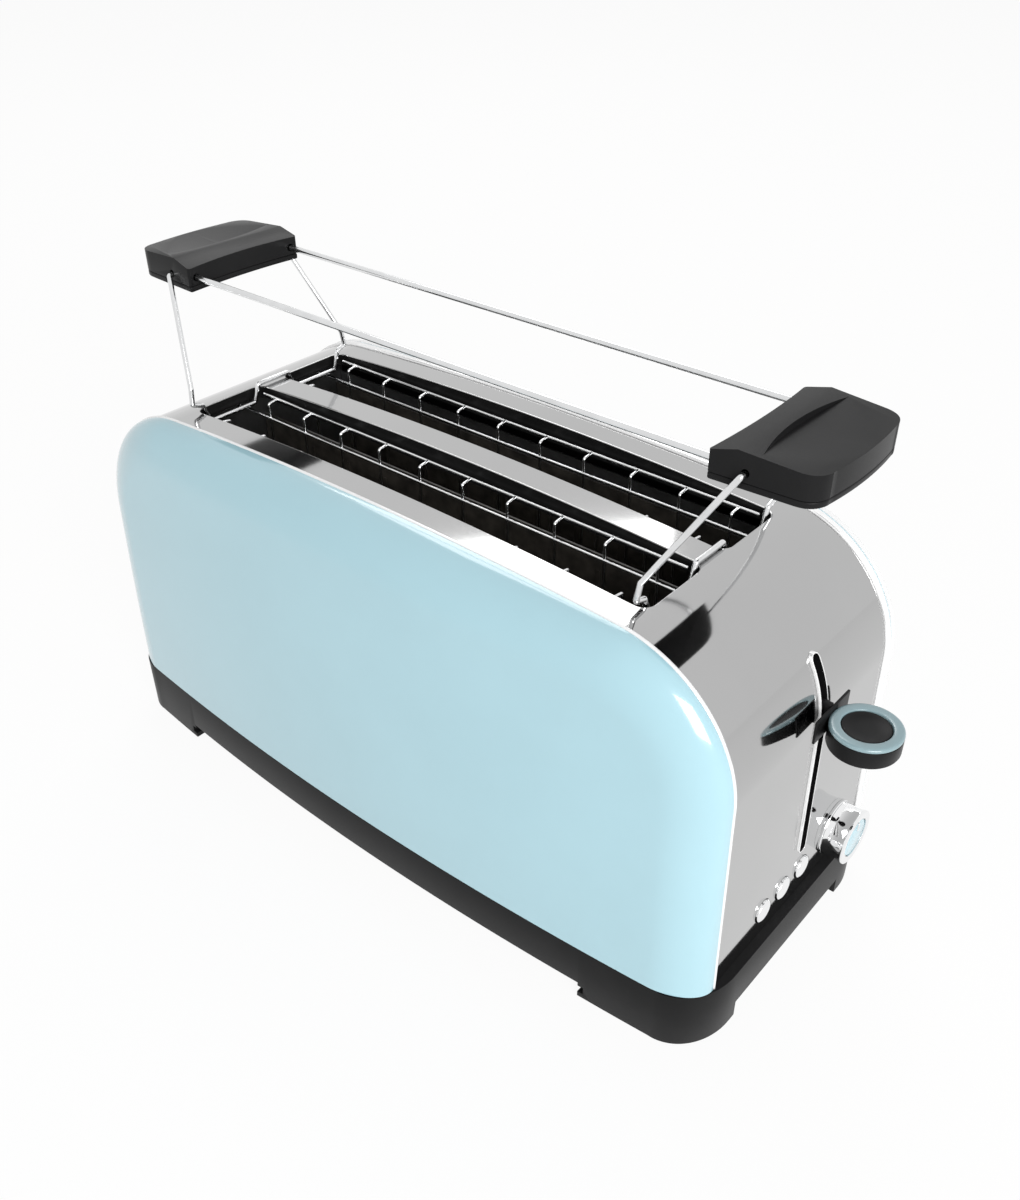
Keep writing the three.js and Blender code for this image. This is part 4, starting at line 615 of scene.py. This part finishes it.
def block(name, x, y, z, material, body):
    outline = [(x[0], y[0]), (x[1], y[0]), (x[1], y[1]), (x[0], y[1])]
    return prism(name, outline, z[0], z[1], "z", material, body)


def soft_block(name, x, y, z, round_by, material, body, replaced=None):
    made = bevel(block(name, x, y, z, material, body), round_by)
    if replaced:
        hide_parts(replaced)


def skirt_cuts():
    """The arches between the feet, the openings of the deck and the bays for tray, gland and pads."""
    foot_x, foot_y = SKIRT_END - FOOT_LENGTH, SKIRT_SIDE - FOOT_WIDTH
    boxes = [
        ((-foot_x, foot_x), (-95, 95), (-1, SKIRT_LOW)),
        ((-205, 205), (-foot_y, foot_y), (-1, SKIRT_LOW + 0.01)),
        ((-DECK_OPENING_X, DECK_OPENING_X), (-DECK_OPENING_Y, DECK_OPENING_Y), (29, SKIRT_TOP + 1)),
        ((-foot_x - 3, foot_x + 3), (-86, 86), (FOOT_TOP - 1, FOOT_TOP + 3)),
        ((-202, TRAY_BAY_X), (-TRAY_BAY_Y, TRAY_BAY_Y), (0, TRAY_BAY_TOP)),
    ]
    cuts = [block("cut", x, y, z, BLACK, None) for x, y, z in boxes]
    cuts.append(prism("cut", disc((GLAND_X, GLAND_Z), GLAND_HOLE, 40), 62, 92, "y", BLACK, None))
    pad_x, pad_y = SKIRT_END - PAD_INSET_X, SKIRT_SIDE - PAD_INSET_Y
    for x in (-pad_x, pad_x):
        for y in (-pad_y, pad_y):
            cuts.append(prism("cut", disc((x, y), PAD_HOLE, 48), 0, PAD_TOP, "z", BLACK, None))
    return cuts


def skirt_skin():
    skirt = prism("skirt_skin", skirt_outline(0), SKIRT_UNDER, SKIRT_TOP, "z", BLACK, None)
    inside = prism("cut", skirt_outline(SKIRT_WALL), FOOT_TOP, SKIRT_TOP - SKIRT_DECK, "z", BLACK, None)
    carve(skirt, [inside])
    carve(skirt, skirt_cuts())
    bevel(skirt, 0.7, 3, 40)
    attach(skirt, "body")
    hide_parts("base_skirt")


skirt_skin()


# Bun rack: handles with a thumb scoop, rails and bent wire legs

RACK_SHIFT, INNER, LENGTH, RAIL_Z, RAIL_Y, RAIL_RADIUS = 2, 149, 45.2, 259, 30.3, 1.5
INNER_SAG, OUTER_SAG, HANDLE_TAPER, INNER_CORNER, OUTER_CORNER = 2, 3, 2, 1.6, 8
HANDLE_HALF, HANDLE_FLOOR, HANDLE_EDGE, HANDLE_TOP, HANDLE_CREST = 34.6, 252.4, 264, 267.2, 11.4
HANDLE_FALL, HANDLE_CUT, COVER_SHEET, HANDLE_BEVEL = 2, 280, 3, 0.9
SCOOP_DEPTH, SCOOP_HALF, SCOOP_SAG, SCOOP_RUN, SCOOP_END = 2.8, 34, 5.6, 28, 1.8
RAIL_SEAT, RAIL_BORE, LEG_PIVOT, LEG_BORE, LEG_SEAT = 9, 1.9, 15.2, 1.7, (27.6, 36)
LEG_RADIUS, LEG_X, LEG_BEND, LEG_PIVOT_BEND, LEG_DROP = 1.3, 136.8, 1.6, 1.8, 9.2
LEG_TOE_RISE, LEG_BUMP_RISE, LEG_KNEE_RISE = 3.6, 2.6, 9
LEG_START_Y, LEG_PIVOT_Y, LEG_KNEE_Y, LEG_TOE_Y, LEG_HEEL_Y = 27.9, 36.6, 51, 53, 46
LEG_DROP_Y, LEG_BUMP_FOOT_Y, LEG_BUMP_Y = 43.6, 13.2, 10.6
EDGE_POINTS = 25


def rack_x(sign, reach):
    return RACK_SHIFT + sign * reach


def turned_corner(back, corner, ahead, size):
    """A soft corner from one side of an outline over to the next."""
    a = corner + (back - corner).normalized() * size
    b = corner + (ahead - corner).normalized() * size
    return [tuple(a * (1 - t) ** 2 + corner * (2 * t * (1 - t)) + b * t * t) for t in np.linspace(0, 1, 12)]


def handle_outline(sign):
    """A bowed inner edge, then a bowed outer edge that is a little shorter, with soft corners between."""
    far = HANDLE_HALF - HANDLE_TAPER
    inner = [(INNER + INNER_SAG * (1 - t * t), HANDLE_HALF * t) for t in np.linspace(-1, 1, EDGE_POINTS)]
    outer = [(INNER + LENGTH - OUTER_SAG * t * t, far * t) for t in np.linspace(1, -1, EDGE_POINTS)]
    first, second, third, fourth = (Vector(p) for p in (inner[0], inner[-1], outer[0], outer[-1]))
    ring = turned_corner(fourth, first, Vector(inner[1]), INNER_CORNER)
    ring += inner[1:-1]
    ring += turned_corner(Vector(inner[-2]), second, third, INNER_CORNER)
    ring += turned_corner(second, third, Vector(outer[1]), OUTER_CORNER)
    ring += [p for p in outer[1:-1] if abs(p[1]) <= far - OUTER_CORNER]
    ring += turned_corner(Vector(outer[-2]), fourth, first, OUTER_CORNER)
    return [(rack_x(sign, x), y) for x, y in ring]


def scoop(sign):
    """Round floor rising outwards, ending inwards in a curved step."""
    radius = (SCOOP_HALF ** 2 + SCOOP_DEPTH ** 2) / (2 * SCOOP_DEPTH)
    step_radius = (SCOOP_HALF ** 2 + SCOOP_SAG ** 2) / (2 * SCOOP_SAG)
    start = INNER + LEG_PIVOT
    trough = prism("cut", disc((0, radius), radius, 400), -60, 60, "x", HANDLE, None)
    turn = Matrix.Rotation(-sign * math.atan2(SCOOP_DEPTH - SCOOP_END, SCOOP_RUN), 4, "Y")
    move = Matrix.Translation(Vector((rack_x(sign, start), 0, HANDLE_TOP - 0.25 - SCOOP_DEPTH)) * MM)
    trough.data.transform(move @ turn)
    step = prism("step", disc((rack_x(sign, start + step_radius), 0), step_radius, 400), 250, 270, "z",
                 HANDLE, None)
    change = trough.modifiers.new("cut", "BOOLEAN")
    change.operation = "INTERSECT"
    change.solver = "EXACT"
    change.object = step
    applied(trough)
    bpy.data.objects.remove(step)
    return trough


def handle_bores(sign):
    """Holes for the ends of the rails and for the legs' pivots."""
    along = sorted((rack_x(sign, INNER - 3), rack_x(sign, INNER + RAIL_SEAT)))
    bores = [prism("cut", disc((side * RAIL_Y, RAIL_Z), RAIL_BORE, 32), *along, "x", HANDLE, None)
             for side in (-1, 1)]
    pivot = disc((rack_x(sign, INNER + LEG_PIVOT), RAIL_Z), LEG_BORE, 32)
    bores += [prism("cut", pivot, *sorted(side * y for y in LEG_SEAT), "y", HANDLE, None) for side in (-1, 1)]
    return bores


def handle_skin(end, sign):
    outline = handle_outline(sign)
    made = prism(f"handle_skin_{end}", outline, HANDLE_FLOOR + COVER_SHEET, 270, "z", HANDLE, None)
    beyond, low_end = INNER + LENGTH + 5, HANDLE_TOP - HANDLE_FALL
    above = [(INNER - 5, HANDLE_EDGE - 0.7), (INNER, HANDLE_EDGE), (INNER + HANDLE_CREST, HANDLE_TOP),
             (INNER + LENGTH, low_end), (beyond, low_end - 0.3), (beyond, HANDLE_CUT),
             (INNER - 5, HANDLE_CUT)]
    roof = prism("cut", [(rack_x(sign, x), z) for x, z in above], -60, 60, "y", HANDLE, None)
    for cutters in ([roof], [scoop(sign)], handle_bores(sign)):
        carve(made, cutters)
    bevel(made, HANDLE_BEVEL, 4, 24, 40)
    cover = prism(f"cover_skin_{end}", outline, HANDLE_FLOOR, HANDLE_FLOOR + COVER_SHEET - 0.3, "z", HANDLE,
                  None)
    bevel(cover, HANDLE_BEVEL, 4, 40)
    for made, replaced in ((made, f"rack_handle_{end}"), (cover, f"handle_cover_{end}")):
        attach(made, "bun_rack")
        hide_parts(replaced)


def leg_route(sign):
    top = arch_height(LEG_X)
    toe, bump, low = top + LEG_TOE_RISE, top + LEG_BUMP_RISE, top - LEG_DROP + LEG_RADIUS
    x, pivot = sign * LEG_X, rack_x(sign, INNER + LEG_PIVOT)
    half = [(pivot, LEG_START_Y, RAIL_Z), (pivot, LEG_PIVOT_Y, RAIL_Z), (x, LEG_KNEE_Y, toe + LEG_KNEE_RISE),
            (x, LEG_TOE_Y, toe), (x, LEG_HEEL_Y, toe), (x, LEG_DROP_Y, low), (x, LEG_BUMP_FOOT_Y, low),
            (x, LEG_BUMP_Y, bump)]
    bends = [0, LEG_PIVOT_BEND] + [LEG_BEND] * (len(half) - 2)
    return bent(half + [(a, -b, c) for a, b, c in reversed(half)], bends + bends[::-1])


for end, sign in ENDS.items():
    handle_skin(end, sign)
    leg = tubes(f"leg_skin_{end}", [leg_route(sign)], LEG_RADIUS, WIRE, f"leg_{end}", 24)
    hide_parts(f"rack_leg_{end}")
for side, sign in SIDES.items():
    reach = INNER + RAIL_SEAT - 0.3
    route = [(x, sign * RAIL_Y, RAIL_Z) for x in (rack_x(-1, reach), 0, rack_x(1, reach))]
    rail = tubes(f"rail_skin_{side}", [route], RAIL_RADIUS, WIRE, "bun_rack", 32)
    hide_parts(f"rack_rail_{side}")


# Bread guards: wire grids that stand beside the bread

GUARD_HALF_GAP, GUARD_FLARE, GUARD_WIRE, GUARD_BEND = 12.3, 6.3, 0.75, 1.4
GUARD_TOP, GUARD_SHOULDER, GUARD_RAIL, GUARD_BOTTOM = 194.6, 194.2, 186, 46
GUARD_TOP_REACH, GUARD_REACH, UPRIGHTS, UPRIGHT_SPACING = 133, 149.7, 10, 27.25


def guard_skin(side, sign, place, outward):
    y = sign * SLOT_Y + outward * GUARD_HALF_GAP
    top_y = sign * SLOT_Y + outward * (GUARD_HALF_GAP + GUARD_FLARE)
    routes = [[(x, top_y, GUARD_TOP) for x in (-GUARD_TOP_REACH, 0, GUARD_TOP_REACH)]]
    routes += [[(x, y, z) for x in (-GUARD_REACH, 0, GUARD_REACH)] for z in (GUARD_RAIL, GUARD_BOTTOM)]
    for i in range(UPRIGHTS):
        x = (i - (UPRIGHTS - 1) / 2) * UPRIGHT_SPACING
        upright = [(x, y, GUARD_BOTTOM), (x, y, GUARD_SHOULDER), (x, top_y, GUARD_TOP)]
        routes.append(bent(upright, [0, GUARD_BEND, 0], 5))
    made = tubes(f"guard_skin_{side}_{place}", routes, GUARD_WIRE, WIRE, "body", 12)
    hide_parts(f"bread_guard_{side}_{place}")


for side, sign in SIDES.items():
    guard_skin(side, sign, "outer", sign)
    guard_skin(side, sign, "inner", -sign)


# Lever with its surround and round knob

KNOB_X, KNOB_LOW, KNOB_RADIUS, HUB_RADIUS = 214.5, 137.8, 15.3, 10.2
RIM_WIDTH, RIM_PROUD, RIM_SHEET, LINER_TOP, LINER_DEPTH = 0.42, 1.5, 0.22, 1.3, -6
BAR_BACK, BAR_X, CROSSBAR_X, BAR_LOW = 155.2, 198.5, (198.4, 199.6), 136
CROSSBAR_HALF, CROSSBAR_TOP, BAR_HALF, BAR_TOP = 14.25, 147.4, 1.4, 148


def wall_x(z, offset=0.0):
    if z <= SHOULDER_Z:
        return WRAP_END + offset
    return SHOULDER_X + math.sqrt((SHOULDER_RADIUS + offset) ** 2 - (z - SHOULDER_Z) ** 2)


def slot_ring(name, section, material):
    """A section of distance outwards and height off the wall, carried round the lever slot."""
    outline = dense(rounded_box((LEVER_MIDDLE - LEVER_GAP, LEVER_MIDDLE + LEVER_GAP),
                                (LEVER_BOTTOM, LEVER_TOP), LEVER_GAP - 0.1, 14), 2)
    n = len(outline)
    verts = []
    for i, p in enumerate(outline):
        along = (Vector(outline[(i + 1) % n]) - Vector(outline[i - 1])).normalized()
        out = Vector((along.y, -along.x))
        for offset, proud in section:
            y, z = Vector(p) + out * offset
            verts.append((wall_x(z, proud), y, z))
    return piece(name, verts, grid_faces(n, len(section), True, True), material, "body", 60)


def bezel_skin():
    """A thin rolled rim that follows the slot round the shoulder, with its sleeve into the wall."""
    rim = slot_ring("bezel_skin", [
        (0, LINER_TOP), (0, RIM_PROUD - 0.05), (0.06, RIM_PROUD), (RIM_WIDTH - 0.06, RIM_PROUD),
        (RIM_WIDTH, RIM_PROUD - 0.1), (RIM_WIDTH, 0.05), (RIM_SHEET, 0.05), (RIM_SHEET, LINER_TOP)], TRIM)
    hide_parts("lever_slot_bezel")
    liner = slot_ring("bezel_liner", [(0, LINER_DEPTH), (0, LINER_TOP), (RIM_SHEET, LINER_TOP),
                                      (RIM_SHEET, LINER_DEPTH)], BLACK)


def lever_knob():
    """A black disc with a raised middle, and the blue ring that lies round that middle."""
    centre = (KNOB_X, CONTROL_Y, KNOB_LOW)
    knob = lathe("knob_skin", [
        (-3, 0), (-3, KNOB_RADIUS - 1), (-2.7, KNOB_RADIUS - 0.3), (-2, KNOB_RADIUS), (5.1, KNOB_RADIUS),
        (5.3, KNOB_RADIUS - 0.2), (5.3, HUB_RADIUS + 0.2), (6.2, HUB_RADIUS), (6.7, HUB_RADIUS - 0.2),
        (6.75, HUB_RADIUS - 0.8), (6.2, HUB_RADIUS - 2.2), (5.9, 4), (5.85, 0),
    ], centre, "z", BLACK, "carriage", 128, 35)
    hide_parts("lever_knob")
    # The ring takes the darker blue, a painted shade of the panel's paint
    ring = lathe("ring_skin", [
        (5.6, HUB_RADIUS + 0.3), (5.6, KNOB_RADIUS - 0.1), (5.8, KNOB_RADIUS), (6.2, KNOB_RADIUS),
        (6.75, KNOB_RADIUS - 0.2), (7.15, KNOB_RADIUS - 0.65), (7.3, KNOB_RADIUS - 1.2),
        (7.3, HUB_RADIUS + 0.9), (7.15, HUB_RADIUS + 0.45), (6.9, HUB_RADIUS + 0.3), (5.6, HUB_RADIUS + 0.3),
    ], centre, "z", SHADED_RING_BLUE, "carriage", 128, 50)
    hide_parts("lever_ring")


bezel_skin()
soft_block("lever_crossbar", CROSSBAR_X, (CONTROL_Y - CROSSBAR_HALF, CONTROL_Y + CROSSBAR_HALF),
           (BAR_LOW, CROSSBAR_TOP), 0.4, BLACK, "carriage", "lever_arm")
soft_block("lever_bar", (BAR_BACK, BAR_X), (CONTROL_Y - BAR_HALF, CONTROL_Y + BAR_HALF),
           (BAR_LOW, BAR_TOP), 0.3, BLACK, "carriage")
lever_knob()


# Browning dial and push buttons

DIAL_BACK, DIAL_FRONT, DIAL_RADIUS, DIAL_FACE_RADIUS, DIAL_FACE = 195.3, 208, 14, 9.5, 206.4
POINTER_X, POINTER_HALF, POINTER_Z, POINTER_BEVEL = (207.3, 208.5), 0.6, (56, 60.8), 0.25
STEM_BACK, STEM_RADIUS, FLANGE_BACK, FLANGE_FRONT, FLANGE_RADIUS = 189.6, 2.4, 192.2, 193.7, 6.95
BUTTON_FACE = 197


def dial_skin():
    """A barrel that narrows a little behind its rolled lip, with a sunk face and its blue inset."""
    dial = lathe("dial_skin", [
        (DIAL_BACK, 0), (DIAL_BACK, 13.7), (195.5, 13.95), (195.8, DIAL_RADIUS), (196.7, DIAL_RADIUS),
        (196.95, 13.85), (197, 13.5), (197.3, 13.5), (197.4, 13.7), (198.5, 13.5), (200, 13.3),
        (201.8, 13.2), (203.4, 13.25), (204.8, 13.45), (206, 13.75), (206.8, 13.95), (207.3, DIAL_RADIUS),
        (207.75, 13.9), (207.95, 13.6), (DIAL_FRONT, 13.2), (DIAL_FRONT, 10.4), (207.85, 10.1),
        (DIAL_FACE, 9.95), (DIAL_FACE, 0),
    ], (0, DIAL_Y, DIAL_Z), "x", CHROME, "dial", 144, 28)
    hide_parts("dial_knob")
    inset = lathe("inset_skin", [
        (206.5, 0), (206.5, DIAL_FACE_RADIUS), (207.1, DIAL_FACE_RADIUS + 0.1),
        (207.4, DIAL_FACE_RADIUS - 0.05), (207.5, DIAL_FACE_RADIUS - 0.4), (207.5, 0),
    ], (0, DIAL_Y, DIAL_Z), "x", BLUE, "dial", 96, 50)
    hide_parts("dial_inset")
    soft_block("pointer_skin", POINTER_X, (DIAL_Y - POINTER_HALF, DIAL_Y + POINTER_HALF), POINTER_Z,
               POINTER_BEVEL, CHROME, "dial", "dial_pointer")


def button_skin(number, y):
    """A button with the flange that stops it behind the wall, its stem and a slightly hollow face."""
    button = lathe(f"button_skin_{number}", [
        (STEM_BACK, 0), (STEM_BACK, STEM_RADIUS), (FLANGE_BACK, STEM_RADIUS), (FLANGE_BACK, FLANGE_RADIUS),
        (FLANGE_FRONT, FLANGE_RADIUS), (FLANGE_FRONT, BUTTON_RADIUS), (196.4, BUTTON_RADIUS),
        (196.75, 5.65), (BUTTON_FACE, 5.4), (197.15, 5.0), (197.2, 4.4), (197.05, 2.5), (BUTTON_FACE, 0),
    ], (0, y, BUTTON_Z), "x", CHROME, f"button_{number}", 64, 35)
    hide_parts(f"push_button_{number}")


dial_skin()
for i, y in enumerate(BUTTON_ROWS):
    button_skin(i + 1, y)


# The end walls lean out a little towards the floor, and what they carry goes with them

LEAN, CONTROL_SHIFT = 2.4, -0.7
LEANING = ("wrap_skin", "trim_skin", "panel_skin", "bezel_")
CARRIED = {"dial_skin": DIAL_Z, "inset_skin": DIAL_Z, "pointer_skin": DIAL_Z, "button_skin": BUTTON_Z}


def lean(x, z):
    return x / WRAP_END * LEAN * min(max((SHOULDER_Z - z) / (SHOULDER_Z - WRAP_FOOT), 0), 1)


def shift(made, x):
    made.data.transform(Matrix.Translation((x * MM, 0, 0)))


drawn = [made for made in scene.objects if made.type == "MESH" and made not in set(nodes.values())]
for made in drawn:
    if made.name.startswith(LEANING):
        for vertex in made.data.vertices:
            vertex.co.x += lean(vertex.co.x / MM, vertex.co.z / MM) * MM
    for start, height in CARRIED.items():
        if made.name.startswith(start):
            shift(made, lean(WRAP_END, height) + CONTROL_SHIFT)

# The pieces above are drawn from the middle of the body, the CAD from the middle of the whole object

for made in drawn:
    shift(made, -CENTRE_X)


# Floor, backdrop and light

FLOOR_COLOR = (0.93, 0.92, 0.91)
FLOOR_HALF = 9000
FLOOR_SHADOW = 0.08
AMBIENT = 0.46
LAMP_TARGET = Vector((0, 0, 0.1))


def added(tree, a, b):
    """The sum of two values, at most 1."""
    node = tree.nodes.new("ShaderNodeMath")
    node.operation = "ADD"
    node.use_clamp = True
    link(tree, a, node.inputs[0])
    link(tree, b, node.inputs[1])
    return node.outputs["Value"]


def seen_directly(tree):
    """1 for what the camera sees, and for what it sees in metal, through glass or in gloss."""
    path = tree.nodes.new("ShaderNodeLightPath")
    mirrored = added(tree, path.outputs["Is Glossy Ray"], path.outputs["Is Transmission Ray"])
    return added(tree, path.outputs["Is Camera Ray"], mirrored)


def mixed(tree, factor, first, second):
    node = tree.nodes.new("ShaderNodeMixShader")
    if isinstance(factor, float):
        node.inputs[0].default_value = factor
    else:
        link(tree, factor, node.inputs[0])
    link(tree, first, node.inputs[1])
    link(tree, second, node.inputs[2])
    return node.outputs[0]


def white_light(tree, kind, strength):
    node = tree.nodes.new(kind)
    node.inputs["Color"].default_value = (1, 1, 1, 1)
    node.inputs["Strength"].default_value = strength
    return node.outputs[0]


def pale_floor():
    """White wherever it is seen, also in metal, with a share of the light on it for the shadow."""
    material = bpy.data.materials.new("pale_floor")
    material.use_nodes = True
    tree = material.node_tree
    tree.nodes.remove(tree.nodes["Principled BSDF"])
    lit = tree.nodes.new("ShaderNodeBsdfDiffuse")
    lit.inputs["Color"].default_value = (*FLOOR_COLOR, 1)
    shown = mixed(tree, FLOOR_SHADOW, white_light(tree, "ShaderNodeEmission", 1), lit.outputs[0])
    link(tree, mixed(tree, seen_directly(tree), lit.outputs[0], shown),
         tree.nodes["Material Output"].inputs["Surface"])
    return material


def studio():
    """White wherever it is seen, and a plain soft light on the object."""
    world = bpy.data.worlds.new("studio")
    world.use_nodes = True
    tree = world.node_tree
    tree.nodes.remove(tree.nodes["Background"])
    link(tree, mixed(tree, seen_directly(tree), white_light(tree, "ShaderNodeBackground", AMBIENT),
                     white_light(tree, "ShaderNodeBackground", 1)),
         tree.nodes["World Output"].inputs["Surface"])
    return world


def lamp(name, place, size, power):
    """A soft lamp that faces the object. Its place and size are in metres."""
    data = bpy.data.lights.new(name, "AREA")
    data.shape = "RECTANGLE"
    data.size, data.size_y = size
    data.energy = power
    made = bpy.data.objects.new(name, data)
    made.location = place
    made.rotation_euler = (LAMP_TARGET - Vector(place)).to_track_quat("-Z", "Y").to_euler()
    scene.collection.objects.link(made)


floor = piece("floor", [(-FLOOR_HALF, -FLOOR_HALF, 0), (FLOOR_HALF, -FLOOR_HALF, 0),
                        (FLOOR_HALF, FLOOR_HALF, 0), (-FLOOR_HALF, FLOOR_HALF, 0)],
              [(0, 1, 2, 3)], pale_floor(), None)
scene.world = studio()
lamp("key", (1.6, -0.95, 0.95), (1.0, 1.0), 33)
lamp("back", (-1.1, 1.2, 1.9), (1.2, 1.0), 14)
